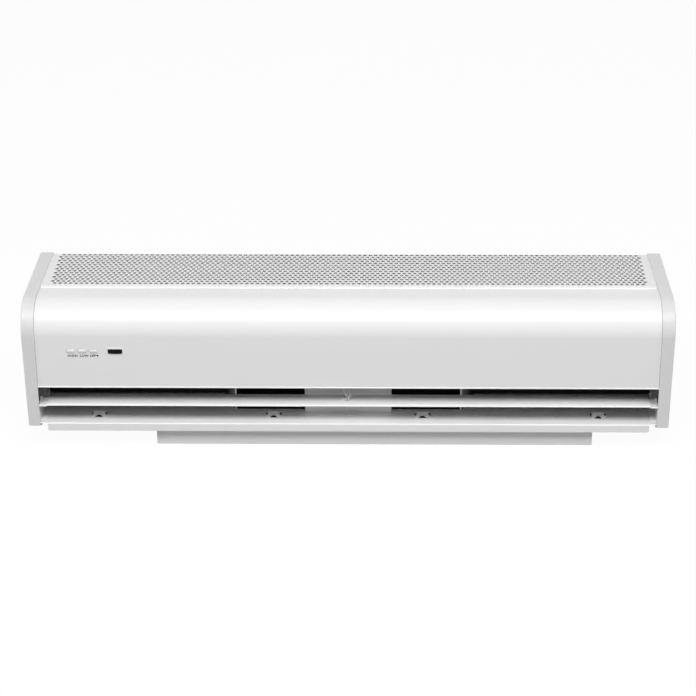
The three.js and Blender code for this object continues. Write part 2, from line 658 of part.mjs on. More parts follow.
// Band over the motor, with ears on the cradle's ledges.
function strapSolid() {
  const inner = motor.radius + gap;
  const low = ledgeTop + gap;
  const wide = around(0, strap.half);
  const above = box(around(0, strap.half + over), [0, overall.depth], [low, overall.height]);
  const band = tube(inner, inner + strap.thickness, wide, axle, sides.motor).intersect(above);
  const reach = inner + strap.thickness / 2;
  const ears = [[axle.y - cradleReach, axle.y - reach], [axle.y + reach, axle.y + cradleReach]];
  return join(band, ...ears.map((run) => box(wide, run, [low, low + strap.thickness])));
}

function buttonPlaces() {
  return ["high", "low", "off"].map((name, i) =>
    ({ name, x: fromLeft(control.firstButton + i * buttonPitch), z: control.height }));
}

function windowPlace() {
  return { x: fromLeft(control.window), z: control.height };
}

function lampPlace() {
  return { x: fromLeft(lamp.fromEnd), z: control.height - lamp.drop };
}

function grommetPlace() {
  return { x: fromLeft(grommet.fromEnd), z: grommet.z };
}

// A pill-shaped cap through the cover, a flange behind it and a stem towards its switch.
function buttonSolid(at) {
  const flangeEnd = pocketFront + buttonBack.flange;
  const stemEnd = switchFace - gap - button.travel;
  return join(
    alongY(pill(at, button), [button.front, flangeEnd]),
    alongY(pill(at, button, buttonBack.rim), [pocketFront, flangeEnd]),
    rodY(buttonBack.stem, [pocketFront, stemEnd], at, sides.screw));
}

function tactSolid(at) {
  const back = boardFront - gap;
  const front = back - tact.depth;
  const half = tact.size / 2;
  return join(box(around(at.x, half), [front, back], around(at.z, half)),
    rodY(tact.plunger, [switchFace, front + over], at, sides.screw));
}

function lensSolid() {
  return join(alongY(softBox(windowPlace(), lens), [lens.front, pocketFront + over]),
    alongY(softBox(windowPlace(), lens, lens.rim), [pocketFront, pocketFront + lens.flange]));
}

function lampSolid() {
  return join(rodY(lamp.radius, [lamp.front, boardFront - gap], lampPlace()),
    rodY(lamp.collar, [carrierBack + gap, carrierBack + over], lampPlace()));
}

function receiverSolid() {
  const { x, z } = windowPlace();
  const back = boardFront - gap;
  const front = back - receiver.depth;
  const body = box(around(x, receiver.width / 2), [front, back], around(z, receiver.height / 2));
  return body.add(rodZ(receiver.dome, around(z, receiver.domeHalf), { x, y: front }));
}

// Moulded tray behind the cover: a rim, a plate with openings, and posts for the board.
function carrierSolid() {
  const left = fromLeft(carrier.left);
  const right = fromLeft(carrier.right);
  const { rim, reach } = carrier;
  const at = windowPlace();
  const tray = box([left, right], [pocketFront, carrierBack], around(control.height, reach));
  const pocket = box([left + rim, right - rim], [pocketFront - over, carrierFront],
    around(control.height, reach - rim));
  const through = [carrierFront - over, carrierBack + over];
  const stemHoles = buttonPlaces().map((place) =>
    rodY(buttonBack.stem + stemClearance, through, place, sides.screw));
  const lampHole = rodY(lamp.radius + gap, through, lampPlace());
  const eye = box(around(at.x, receiver.width / 2 + over), through,
    around(at.z, receiver.height / 2 + over));
  const posts = postPlaces().map((place) =>
    rodY(post.radius, [carrierBack - over, carrierBack + post.length], place, sides.screw));
  return join(cut(tray, pocket, ...stemHoles, lampHole, eye), ...posts);
}

function postPlaces() {
  const rows = around(control.height, carrier.reach - post.inset);
  return [carrier.left + post.inset, carrier.right - post.inset].flatMap((distance) =>
    rows.map((z) => ({ x: fromLeft(distance), z })));
}

function boardSolid() {
  const back = boardFront + board.thickness;
  const left = fromLeft(carrier.left) - board.margin;
  const right = fromLeft(carrier.right) + board.margin;
  const high = around(control.height, carrier.reach + board.margin);
  const plate = box([left, right], [boardFront, back], high);
  const relayLow = high[0] + relay.inset;
  const relays = Array.from({ length: relay.count }, (_, i) => {
    const start = fromLeft(control.firstButton) + i * (relay.pitch + buttonPitch);
    return box([start, start + relay.width], [back - gap, back + relay.depth],
      [relayLow, relayLow + relay.height]);
  });
  const chokePlace = { x: fromLeft(carrier.right - choke.fromRight), z: control.height };
  return join(plate, ...relays, rodY(choke.radius, [back - gap, back + choke.reach], chokePlace));
}

function terminalSolid() {
  const left = fromLeft(terminal.left);
  const right = fromLeft(terminal.right);
  const { front, back, ways } = terminal;
  const top = floorSeat + terminal.height;
  const middles = Array.from({ length: ways }, (_, i) => left + ((right - left) / ways) * (i + 0.5));
  const wells = middles.flatMap((x) => [front + terminalWell.inset, back - terminalWell.inset].map((y) =>
    rodZ(terminalWell.radius, [top - terminalWell.depth, top + over], { x, y }, sides.screw)));
  const mouths = middles.map((x) => box(around(x, terminalMouth.half),
    [front - over, front + terminalMouth.depth],
    [floorSeat + terminalMouth.low, floorSeat + terminalMouth.high]));
  return cut(box([left, right], [front, back], [floorSeat, top]), ...wells, ...mouths);
}

function capacitorPlace() {
  return { y: capacitor.y, z: floorSeat + capacitor.radius + gap };
}

function capacitorSolid() {
  const at = capacitorPlace();
  const left = fromLeft(capacitor.left);
  const blades = [-1, 1].map((side) => box([left - blade.length, left + over],
    around(at.y + side * blade.spread, blade.width / 2), around(at.z, blade.thickness / 2)));
  const can = rodX(capacitor.radius, [left, fromLeft(capacitor.right)], at, sides.seat);
  return join(can, ...blades);
}

// A saddle bent over the capacitor, with two feet on the floor.
function capacitorClipSolid() {
  const at = capacitorPlace();
  const reach = capacitor.radius + gap + capClip.thickness;
  const foot = floorSeat + capClip.thickness;
  const section = foldedSheet([
    [at.y - reach - capClip.foot, foot],
    [at.y - reach, foot],
    [at.y - reach, at.z + reach, reach - hair],
    [at.y + reach, at.z + reach, reach - hair],
    [at.y + reach, foot],
    [at.y + reach + capClip.foot, foot],
  ], capClip.thickness);
  const middle = fromLeft((capacitor.left + capacitor.right) / 2);
  return alongX(section, around(middle, capClip.width / 2));
}

// Rubber bush in the rear panel, for the supply cable.
function grommetSolid() {
  const { bore, neck, flange, lip, inside } = grommet;
  const { x, z } = grommetPlace();
  const inFace = rearInner - gap;
  const outFace = skin.back + gap;
  const profile = [[bore, inFace - inside], [flange, inFace - inside], [flange, inFace],
    [neck, inFace], [neck, outFace], [flange, outFace], [flange, outFace + lip],
    [bore, outFace + lip]];
  const points = [...profile, profile[0]].map(([r, y]) => new THREE.Vector2(r, y));
  return solidOf(new THREE.LatheGeometry(points, sides.seat).translate(x, 0, z));
}

function leadSolid(points, steps) {
  const path = new THREE.CatmullRomCurve3(points.map((p) => new THREE.Vector3(...p)));
  const ring = Array.from({ length: lead.sides }, (_, i) => {
    const angle = (2 * Math.PI * i) / lead.sides;
    return new THREE.Vector2(lead.radius * Math.cos(angle), lead.radius * Math.sin(angle));
  });
  return solidOf(new THREE.ExtrudeGeometry(new THREE.Shape(ring), { steps, extrudePath: path }));
}

// From the terminal block along the floor behind the blowers, then up to the motor.
function motorLeadSolid() {
  const start = fromLeft(terminal.right) + gap;
  const z = floorSeat + lead.radius + gap;
  const run = overall.depth - lead.backSpace;
  const slope = THREE.MathUtils.degToRad(lead.slope);
  const fromAxle = (radius) =>
    [0, axle.y + radius * Math.cos(slope), axle.z + radius * Math.sin(slope)];
  return leadSolid([
    [start, 150, z + 2],
    [start + 5, 150, z + 2],
    [start + 10, 158, z],
    [start + 20, 174, z],
    [start + 36, run, z],
    [-200, run, z],
    [-60, run, z],
    [-20, run - 2, z + 1],
    [-3, run - 6, z + 10],
    fromAxle(motor.radius + 20),
    fromAxle(motor.radius + 2 * gap),
  ], lead.motorSteps);
}

// From the board down over the duct ceiling to the terminal block.
function controlLeadSolid() {
  const x = fromLeft(92);
  const boardBack = boardFront + board.thickness + gap;
  const z = ceiling + sheet + lead.radius + gap;
  return leadSolid([
    [x, boardBack, 112],
    [x, boardBack + 6, 112],
    [x, boardBack + 16, 98],
    [x + 1, 44, z + 10],
    [x + 1, 58, z + 1],
    [x - 1, 80, z + 1],
    [x - 4, duct.deepBack + 3, z + 1],
    [x - 10, duct.deepBack + 22, 58],
    [x - 17, 148, 38],
    [x - 17, 149, floorSeat + terminal.height + gap],
  ], lead.controlSteps);
}

const paint = { color: 0xd8d9da, roughness: 0.42, metalness: 0.05 };
const blackPaint = { color: 0x1b1c1d, roughness: 0.8, metalness: 0.05 };
const zinc = { color: 0xa6aaad, roughness: 0.45, metalness: 0.8 };
const whitePlastic = { color: 0xe4e5e6, roughness: 0.4, metalness: 0 };
const blackPlastic = { color: 0x1c1d1f, roughness: 0.5, metalness: 0 };
const greyPlastic = { color: 0x8b8e91, roughness: 0.55, metalness: 0 };
const aluminium = { color: 0xd0d2d4, roughness: 0.35, metalness: 0.7 };
const steel = { color: 0x9a9c9e, roughness: 0.3, metalness: 0.9 };
const motorPaint = { color: 0x3a3c3f, roughness: 0.5, metalness: 0.3 };
const copper = { color: 0xa8623a, roughness: 0.4, metalness: 0.8 };
const rubber = { color: 0x17181a, roughness: 0.8, metalness: 0 };
const smokedLens = { color: 0x16090d, roughness: 0.1, metalness: 0 };
const boardGreen = { color: 0x1d5b3a, roughness: 0.5, metalness: 0 };
const red = { color: 0xb3262b, roughness: 0.3, metalness: 0 };

const casing = new THREE.Group();
casing.position.set(0, -overall.depth / 2, overall.wallStandoff);

function place(name, solid, finish) {
  const { vertProperties, triVerts } = solid.getMesh();
  const geometry = new THREE.BufferGeometry();
  geometry.setAttribute("position", new THREE.BufferAttribute(vertProperties, 3));
  geometry.setIndex(new THREE.BufferAttribute(triVerts, 1));
  geometry.computeVertexNormals();
  const mesh = new THREE.Mesh(geometry, new THREE.MeshStandardMaterial(finish));
  mesh.name = name;
  casing.add(mesh);
}

place("chassis_plate", chassisSolid(), paint);
place("outlet_cover", coverSolid(), paint);
place("intake_grille", grilleSolid(), paint);
place("rear_panel", rearPanelSolid(), paint);
place("wall_bracket", bracketSolid(), paint);
place("duct_ceiling", ceilingSolid(), blackPaint);
place("centre_plate", centrePlateSolid(), paint);
place("vane_blade", vaneBladeSolid(), whitePlastic);
place("vane_support", vaneSupportSolid(), paint);
place("vane_centre_clip", vaneClipSolid(), whitePlastic);
place("motor_can", canSolid(), motorPaint);
place("stator", statorSolid(), copper);
place("rotor_core", rotorCoreSolid(), steel);
place("motor_shaft", shaftSolid(), steel);
place("motor_cradle", cradleSolid(), zinc);
place("motor_strap", strapSolid(), zinc);

[[-1, "left"], [1, "right"]].forEach(([side, word], i) => {
  place(`end_cap_${word}`, endCapSolid(side), paint);
  place(`side_plate_${word}`, sidePlateSolid(side), paint);
  place(`duct_back_${word}`, ductBackSolid(side), blackPaint);
  place(`vane_end_${word}`, vaneEndSolid(side), whitePlastic);
  place(`scroll_${word}`, scrollSolid(side), blackPaint);
  place(`inlet_ring_${word}`, inletRingSolid(side), zinc);
  place(`blower_wheel_${word}`, wheelSolid(side), aluminium);
  place(`wheel_hub_${word}`, hubSolid(side), aluminium);
  place(`motor_bell_${word}`, bellSolid(side), aluminium);
  place(`bearing_${word}`, bearingSolid(side), steel);
  place(`bracket_screw_${word}`, bracketScrewSolid(bracketScrew.places[i]), steel);
  place(`cap_screw_${word}_front`, capScrewSolid(side, capScrew.places[0]), steel);
  place(`cap_screw_${word}_rear`, capScrewSolid(side, capScrew.places[1]), steel);
});

buttonPlaces().forEach((at) => {
  place(`button_${at.name}`, buttonSolid(at), whitePlastic);
  place(`switch_${at.name}`, tactSolid(at), blackPlastic);
});

place("receiver_window", lensSolid(), smokedLens);
place("remote_receiver", receiverSolid(), blackPlastic);
place("indicator_lamp", lampSolid(), red);
place("button_carrier", carrierSolid(), greyPlastic);
place("control_board", boardSolid(), boardGreen);
place("terminal_block", terminalSolid(), whitePlastic);
place("motor_capacitor", capacitorSolid(), greyPlastic);
place("capacitor_clip", capacitorClipSolid(), zinc);
place("cable_grommet", grommetSolid(), rubber);
place("motor_lead", motorLeadSolid(), rubber);
place("control_lead", controlLeadSolid(), rubber);

const airCurtain = new THREE.Group();
airCurtain.add(casing);

export default airCurtain;
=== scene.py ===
import json
from math import copysign, cos, pi, radians, sin, tan

import bmesh
import bpy
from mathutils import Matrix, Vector


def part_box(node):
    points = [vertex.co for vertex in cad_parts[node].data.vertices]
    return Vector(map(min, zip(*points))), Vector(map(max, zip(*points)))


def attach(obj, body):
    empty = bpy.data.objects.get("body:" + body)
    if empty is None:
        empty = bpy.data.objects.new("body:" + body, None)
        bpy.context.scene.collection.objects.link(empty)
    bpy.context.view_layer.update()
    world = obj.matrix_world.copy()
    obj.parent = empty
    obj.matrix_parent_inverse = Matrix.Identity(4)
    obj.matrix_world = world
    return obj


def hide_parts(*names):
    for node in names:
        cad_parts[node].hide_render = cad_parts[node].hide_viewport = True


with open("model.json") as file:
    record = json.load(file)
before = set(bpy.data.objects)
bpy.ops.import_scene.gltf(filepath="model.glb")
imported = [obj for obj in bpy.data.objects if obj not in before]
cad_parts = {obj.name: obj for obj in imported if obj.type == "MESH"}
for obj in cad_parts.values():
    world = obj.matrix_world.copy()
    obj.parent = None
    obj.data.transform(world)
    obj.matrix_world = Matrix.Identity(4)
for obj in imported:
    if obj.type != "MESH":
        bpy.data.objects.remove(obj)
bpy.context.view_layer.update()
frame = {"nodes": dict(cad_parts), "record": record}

# The unit lies on its wall side: outlet and controls to -Y, intake grille up, bracket underneath.
# Pieces are drawn in millimetres from the front bottom edge of the end caps, X from the middle.
mm = 0.001
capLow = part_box("end_cap_left")[0]
casingCorner = Vector((0, capLow.y, capLow.z))

record = frame["record"]
slotOf = {part["node"]: part["material_slot"] for part in record["subparts"]}
bodyOf = {node: body for body, nodes in record["behaviour"]["bodies"].items() for node in nodes}


def local(node):  # a node's lowest and highest corner in the casing's millimetres
    return [(corner - casingCorner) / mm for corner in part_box(node)]


def middleOf(node, axes="xz"):  # the middle of a node, seen along the axis that is left out
    low, high = local(node)
    return tuple((getattr(low, axis) + getattr(high, axis)) / 2 for axis in axes)


class Wire:
    # A shader socket that can stand in a sum. It also adds the tree's other nodes.
    def __init__(self, tree, socket=None):
        self.tree = tree
        self.socket = socket

    def node(self, kind, settings=None, values=None, output=0):
        made = self.tree.nodes.new(kind)
        for key, value in (settings or {}).items():
            if key == "stops":
                self.setStops(made.color_ramp, value)
            else:
                setattr(made, key, value)
        for key, value in (values or {}).items():
            if isinstance(value, Wire):
                self.tree.links.new(value.socket, made.inputs[key])
            else:
                made.inputs[key].default_value = value
        return Wire(self.tree, made.outputs[output] if made.outputs else None)

    def setStops(self, ramp, stops):
        while len(ramp.elements) < len(stops):
            ramp.elements.new(1)
        for element, (place, level) in zip(ramp.elements, stops):
            element.position = place
            element.color = (level, level, level, 1)

    def maths(self, operation, first, second=0.0):
        return self.node("ShaderNodeMath", {"operation": operation}, {0: first, 1: second})

    def __add__(self, other):
        return self.maths("ADD", self, other)

    def __radd__(self, other):
        return self.maths("ADD", other, self)

    def __sub__(self, other):
        return self.maths("SUBTRACT", self, other)

    def __rsub__(self, other):
        return self.maths("SUBTRACT", other, self)

    def __mul__(self, other):
        return self.maths("MULTIPLY", self, other)

    def __rmul__(self, other):
        return self.maths("MULTIPLY", other, self)

    def __gt__(self, other):
        return self.maths("GREATER_THAN", self, other)


def grey(level):
    return (level, level, level, 1)


def between(mask, first, second):  # a colour from first to second as the mask rises
    return mask.node("ShaderNodeMix", {"data_type": "RGBA"}, {0: mask, 6: first, 7: second}, 2)


def startFinish(name):
    material = bpy.data.materials.new(name)
    material.use_nodes = True
    material.node_tree.nodes.clear()
    tree = Wire(material.node_tree)
    return material, tree, tree.node("ShaderNodeTexCoord", output="Object")


def noise(place, scale, detail=2.0, stretch=None):
    if stretch:
        place = place.node("ShaderNodeVectorMath", {"operation": "MULTIPLY"}, {0: place, 1: stretch})
    return place.node("ShaderNodeTexNoise", {}, {"Vector": place, "Scale": scale, "Detail": detail})


def fading(value, start, end):  # 1 up to the start and 0 from the end on
    return value.node("ShaderNodeMapRange", {}, {0: value, 1: start, 2: end, 3: 1.0, 4: 0.0})


def finish(name, recipe, *numbers, **look):
    material, tree, place = startFinish(name)
    shader = tree.node("ShaderNodeBsdfPrincipled", {}, recipe(place, *numbers, **look))
    tree.node("ShaderNodeOutputMaterial", {}, {"Surface": shader})
    return material


def bumped(height, distance):
    return height.node("ShaderNodeBump", {}, {"Height": height, "Distance": distance, "Strength": 1.0})


paintLook = {"shade": 0.80, "drift": 0.012, "roughness": 0.30, "peel": 420.0, "peelDepth": 0.000012}
capLook = {"shade": 0.68, "drift": 0.012, "roughness": 0.38, "grain": 900.0, "depth": 0.00001}
vaneLook = {"shade": 0.78, "drift": 0.012, "roughness": 0.32, "grain": 700.0, "depth": 0.000006}


def satinPaint(place, look):
    # Powder coat: a faint cloudiness and the fine orange peel of a baked finish.
    cloud = noise(place, 9.0, 3.0)
    peel = noise(place, look["peel"], 1.0)
    shade = look["shade"]
    colour = between(cloud, grey(shade * (1 - look["drift"])), grey(shade * (1 + look["drift"])))
    return {
        "Base Color": colour,
        "Roughness": look["roughness"] + 0.08 * cloud,
        "Normal": bumped(peel, look["peelDepth"]),
        "Coat Weight": 0.12,
        "Coat Roughness": 0.12,
    }


def mouldedPlastic(place, shade, drift, roughness, grain, depth, tint=(1, 1, 1)):
    # Spark-eroded mould texture under a slow drift of shade.
    cloud = noise(place, 14.0, 2.0)
    pits = noise(place, grain, 2.0)
    low = tuple(shade * (1 - drift) * part for part in tint) + (1,)
    high = tuple(shade * (1 + drift) * part for part in tint) + (1,)
    return {
        "Base Color": between(cloud, low, high),
        "Roughness": roughness + 0.06 * pits,
        "Normal": bumped(pits, depth),
    }


zincLook = {"low": 0.20, "high": 0.42, "spangle": 90.0, "roughness": 0.34}


def zincSheet(place):
    # Hot-dip galvanised sheet: crystal spangle, each crystal with its own shade and gloss.
    crystals = place.node("ShaderNodeTexVoronoi", {},
                          {"Vector": place, "Scale": zincLook["spangle"]}, "Color")
    shadeOf = place.node("ShaderNodeSeparateColor", {}, {0: crystals})
    smear = noise(place, 30.0, 4.0)
    mask = 0.65 * shadeOf + 0.35 * smear
    return {
        "Base Color": between(mask, grey(zincLook["low"]), grey(zincLook["high"])),
        "Metallic": 0.85,
        "Roughness": zincLook["roughness"] + 0.22 * mask,
        "Normal": bumped(smear, 0.00002),
    }


def brushedMetal(place, shade, roughness, stretch, scale):
    # Rolling or turning marks, drawn out along one direction.
    lines = noise(place, scale, 3.0, stretch)
    low = tuple(part * 0.88 for part in shade) + (1,)
    return {
        "Base Color": between(lines, low, tuple(shade) + (1,)),
        "Metallic": 0.92,
        "Roughness": roughness + 0.18 * lines,
        "Normal": bumped(lines, 0.00001),
    }


def woundCopper(place):
    # Enamelled wire laid in turns beside the stack of laminations.
    turns = place.node("ShaderNodeTexWave", {"bands_direction": "X"},
                       {"Vector": place, "Scale": 260.0, "Distortion": 1.5, "Detail": 1.0}, 1)
    return {
        "Base Color": between(turns, (0.16, 0.045, 0.016, 1), (0.52, 0.20, 0.085, 1)),
        "Metallic": 0.75,
        "Roughness": 0.45 - 0.15 * turns,
        "Normal": bumped(turns, 0.0002),
    }


def motorEnamel(place):
    peel = noise(place, 260.0, 2.0)
    dust = noise(place, 22.0, 4.0)
    return {
        "Base Color": between(dust, grey(0.022), grey(0.05)),
        "Roughness": 0.34 + 0.2 * dust,
        "Normal": bumped(peel, 0.00004),
        "Metallic": 0.1,
    }


def softRubber(place):
    bloom = noise(place, 60.0, 4.0)
    return {
        "Base Color": between(bloom, grey(0.010), grey(0.030)),
        "Roughness": 0.62 + 0.2 * bloom,
        "Normal": bumped(bloom, 0.00004),
    }


lensLook = {"tinted": 0.0026, "tint": (0.075, 0.03, 0.07, 1), "gloss": 0.1}


def smokedLens(place):
    # Dark infrared window: nearly black, with a wine tint along its lower edge where it is thin.
    depth = noise(place, 120.0, 1.0)
    height = place.node("ShaderNodeSeparateXYZ", {}, {0: place}, 2)
    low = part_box("receiver_window")[0].z
    fadingBand = fading(height, low, low + lensLook["tinted"])
    dark = between(depth, (0.003, 0.001, 0.003, 1), (0.007, 0.003, 0.006, 1))
    return {
        "Base Color": between(fadingBand, dark, lensLook["tint"]),
        "Roughness": 0.30 + 0.05 * depth,
        "Specular IOR Level": lensLook["gloss"],
    }


def lampPlastic(place):
    glow = noise(place, 900.0, 1.0)
    return {
        "Base Color": between(glow, (0.012, 0.004, 0.004, 1), (0.03, 0.008, 0.007, 1)),
        "Roughness": 0.16 + 0.08 * glow,
    }


def solderMask(place):
    # Green mask over copper tracks that run in straight lines.
    tracks = place.node("ShaderNodeTexWave", {"bands_direction": "X"},
                        {"Vector": place, "Scale": 90.0, "Distortion": 3.0, "Detail": 0.0}, 1)
    ridge = tracks > 0.72
    return {
        "Base Color": between(ridge, (0.012, 0.070, 0.030, 1), (0.030, 0.145, 0.060, 1)),
        "Roughness": 0.30 + 0.12 * tracks,
        "Normal": bumped(ridge, 0.00003),
    }


def printedInk(place):
    dots = noise(place, 2600.0, 2.0)
    return {
        "Base Color": between(dots, grey(0.045), grey(0.085)),
        "Roughness": 0.45 + 0.1 * dots,
    }


# edge is the grey of the painted band of light beside each blower mouth; it fades from full to gone across
# the sheet.
ductLook = {"low": 0.012, "high": 0.024, "edge": 0.22, "mouth": 0.1595, "full": 0.1625, "gone": 0.174}


def ductBlackAndPaintedLight(place):
    # Matte black baffle paint, with a painted band of light beside each blower mouth: grey that fades out
    # away from the mouth stands in for light falling on the sheet there.
    look = ductLook
    grain = noise(place, 500.0, 3.0)
    along = place.node("ShaderNodeSeparateXYZ", {}, {0: place})
    away = place.maths("ABSOLUTE", along)
    # painted light: the grey band beside each mouth, fading out with distance from it
    fadingBand = fading(away, look["full"], look["gone"])
    black = between(grain, grey(look["low"]), grey(look["high"]))
    return {
        "Base Color": between(fadingBand * (away > look["mouth"]), black, grey(look["edge"])),
        "Roughness": 0.72 + 0.15 * grain,
        "Normal": bumped(grain, 0.00001),
        "Specular IOR Level": 0.2,
    }


print("finishes")
finishes = {
    "casing_paint": finish("casingPaint", satinPaint, paintLook),
    "duct_black": finish("ductBlackAndPaintedLight", ductBlackAndPaintedLight),
    "cap_plastic": finish("capPlastic", mouldedPlastic, **capLook),
    "vane_plastic": finish("vanePlastic", mouldedPlastic, **vaneLook),
    "button_plastic": finish("buttonPlastic", mouldedPlastic, 0.78, 0.02, 0.22, 1400.0, 0.000004),
    "zinc_sheet": finish("zincSheet", zincSheet),
    "wheel_aluminium": finish("wheelAluminium", brushedMetal, (0.62, 0.63, 0.64), 0.30, (1, 12, 12), 60.0),
    "bright_steel": finish("brightSteel", brushedMetal, (0.55, 0.55, 0.56), 0.22, (1, 30, 30), 50.0),
    "motor_paint": finish("motorEnamel", motorEnamel),
    "copper_winding": finish("copperWinding", woundCopper),
    "black_plastic": finish("blackPlastic", mouldedPlastic, 0.020, 0.2, 0.42, 800.0, 0.00001),
    "grey_plastic": finish("greyPlastic", mouldedPlastic, 0.26, 0.06, 0.45, 800.0, 0.00001),
    "terminal_plastic": finish("terminalPlastic", mouldedPlastic, 0.66, 0.03, 0.40, 700.0, 0.00001,
                               (1, 0.985, 0.95)),
    "smoked_lens": finish("smokedLens", smokedLens),
    "lamp_lens": finish("lampPlastic", lampPlastic),
    "board_green": finish("solderMask", solderMask),
    "black_rubber": finish("softRubber", softRubber),
}
inkFinish = finish("labelInk", printedInk)


def roundedLine(corners, closed=False, steps=5):
    # Corners are (u, v), (u, v, radius) or (u, v, radius, steps of its own).
    points = []
    for i, corner in enumerate(corners):
        at = Vector(corner[:2])
        radius = corner[2] if len(corner) > 2 else None
        atEnd = not closed and i in (0, len(corners) - 1)
        if atEnd or radius is None:
            points.append(at)
            continue
        back = (Vector(corners[i - 1][:2]) - at).normalized()
        on = (Vector(corners[(i + 1) % len(corners)][:2]) - at).normalized()
        half = back.angle(on) / 2
        middle = at + (back + on).normalized() * (radius / sin(half))
        start = at + back * (radius / tan(half)) - middle
        sweep = copysign(pi - 2 * half, on.cross(back))
        count = corner[3] if len(corner) > 3 else steps
        for k in range(count + 1):
            turn = sweep * k / count
            points.append(middle + Vector((start.x * cos(turn) - start.y * sin(turn),
                                           start.x * sin(turn) + start.y * cos(turn))))
    return points


def reverseOf(line, thickness):  # the other side of a sheet whose face follows the line
    other = []
    for i, point in enumerate(line):
        before = line[i] - line[i - 1] if i > 0 else line[1] - line[0]
        after = line[i + 1] - line[i] if i < len(line) - 1 else before
        rightBefore = Vector((before.y, -before.x)).normalized()
        rightAfter = Vector((after.y, -after.x)).normalized()
        mitre = (rightBefore + rightAfter).normalized()
        other.append(point + mitre * (thickness / mitre.dot(rightBefore)))
    return other


def onAxis(axis, u, v, w):  # a point from two numbers across an axis and one along it
    return {"x": (w, u, v), "y": (u, w, v), "z": (u, v, w)}[axis]


def loft(rings, capped=True):
    count = len(rings[0])
    points = [point for ring in rings for point in ring]
    faces = []
    for k in range(len(rings) - 1):
        for i in range(count):
            j = (i + 1) % count
            faces.append((k * count + i, k * count + j, (k + 1) * count + j, (k + 1) * count + i))
    if capped:
        faces += [tuple(range(count)), tuple(range(len(points) - count, len(points)))]
    return points, faces


def prism(outline, reach, axis="x"):
    return loft([[onAxis(axis, u, v, w) for u, v in outline] for w in reach])


def block(xs, ys, zs):
    return prism([(xs[0], ys[0]), (xs[1], ys[0]), (xs[1], ys[1]), (xs[0], ys[1])], zs, "z")


def turned(profile, at, axis="x", sides=48):
    # A closed profile of (radius, along) turned about an axis through at, two numbers across it.
    count = len(profile)
    points, faces = [], []
    for k in range(sides):
        turn = 2 * pi * k / sides
        for radius, along in profile:
            points.append(onAxis(axis, at[0] + radius * cos(turn), at[1] + radius * sin(turn), along))
    for k in range(sides):
        for i in range(count):
            j = (i + 1) % count
            if profile[i][0] or profile[j][0]:
                m = (k + 1) % sides
                faces.append((k * count + i, k * count + j, m * count + j, m * count + i))
    return points, faces


def rod(radius, reach, at, axis="x", sides=32):
    return turned([(0, reach[0]), (radius, reach[0]), (radius, reach[1]), (0, reach[1])], at, axis, sides)


def merged(*shapes):
    points, faces = [], []
    for morePoints, moreFaces in shapes:
        start = len(points)
        points += morePoints
        faces += [tuple(start + i for i in face) for face in moreFaces]
    return points, faces


def foldedSheet(corners, thickness, reach, axis="x", steps=5):
    # A folded strip: its face follows the line, its thickness lies to the right of it.
    face = roundedLine(corners, steps=steps)
    reverse = reverseOf(face, thickness)
    count = len(face)
    rings = [[onAxis(axis, u, v, w) for u, v in line] for w in reach for line in (face, reverse)]
    points = [point for ring in rings for point in ring]
    faces = []
    for i in range(count - 1):
        j = i + 1
        faces.append((i, j, 2 * count + j, 2 * count + i))
        faces.append((count + i, 3 * count + i, 3 * count + j, count + j))
        faces.append((i, count + i, count + j, j))
        faces.append((2 * count + i, 2 * count + j, 3 * count + j, 3 * count + i))
    for i in (0, count - 1):
        faces.append((i, count + i, 3 * count + i, 2 * count + i))
    return points, faces


def onSide(side, start, end):  # a reach along X on one side of the middle
    return sorted((side * start, side * end))


def addPiece(name, shape):
    points, faces = shape
    mesh = bpy.data.meshes.new(name)
    mesh.from_pydata([Vector(point) * mm + casingCorner for point in points], [], faces)
    edit = bmesh.new()
    edit.from_mesh(mesh)
    bmesh.ops.remove_doubles(edit, verts=edit.verts, dist=0.001 * mm)
    bmesh.ops.recalc_face_normals(edit, faces=edit.faces)
    edit.to_mesh(mesh)
    edit.free()
    piece = bpy.data.objects.new(name, mesh)
    bpy.context.scene.collection.objects.link(piece)
    return piece


def applied(piece):  # the piece with its modifiers worked into its mesh
    seen = piece.evaluated_get(bpy.context.evaluated_depsgraph_get())
    old = piece.data
    piece.data = bpy.data.meshes.new_from_object(seen)
    piece.modifiers.clear()
    bpy.data.meshes.remove(old)
    return piece


def carve(piece, *shapes, operation="DIFFERENCE"):
    tool = addPiece("tool", merged(*shapes))
    change = piece.modifiers.new("carve", "BOOLEAN")
    change.operation = operation
    change.solver = "EXACT"
    change.use_self = True
    change.object = tool
    applied(piece)
    bpy.data.objects.remove(tool)
    return piece


def join(piece, *shapes):
    return carve(piece, *shapes, operation="UNION")


def settle(piece, edge=0.25, sharp=38):
    # Breaks the sharp edges by a small radius and lets the large faces rule the shading.
    if edge:
        bevel = piece.modifiers.new("edges", "BEVEL")
        bevel.width = edge * mm
        bevel.segments = 2
        bevel.limit_method = "ANGLE"
        bevel.angle_limit = radians(sharp)
        bevel.use_clamp_overlap = True
        applied(piece)
    piece.data.shade_smooth()
    piece.data.set_sharp_from_angle(angle=radians(sharp))
    weigh = piece.modifiers.new("weigh", "WEIGHTED_NORMAL")
    weigh.keep_sharp = True
    return applied(piece)


def stand(piece, *nodes):  # the piece takes the place, body and finish of its nodes
    piece.data.materials.clear()
    piece.data.materials.append(finishes[slotOf[nodes[0]]])
    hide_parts(*nodes)
    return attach(piece, bodyOf[nodes[0]])


def dress(piece, slot, body):  # a piece of no node gets a slot's finish and rides on a body
    piece.data.materials.clear()
    piece.data.materials.append(finishes[slot])
    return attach(piece, body)


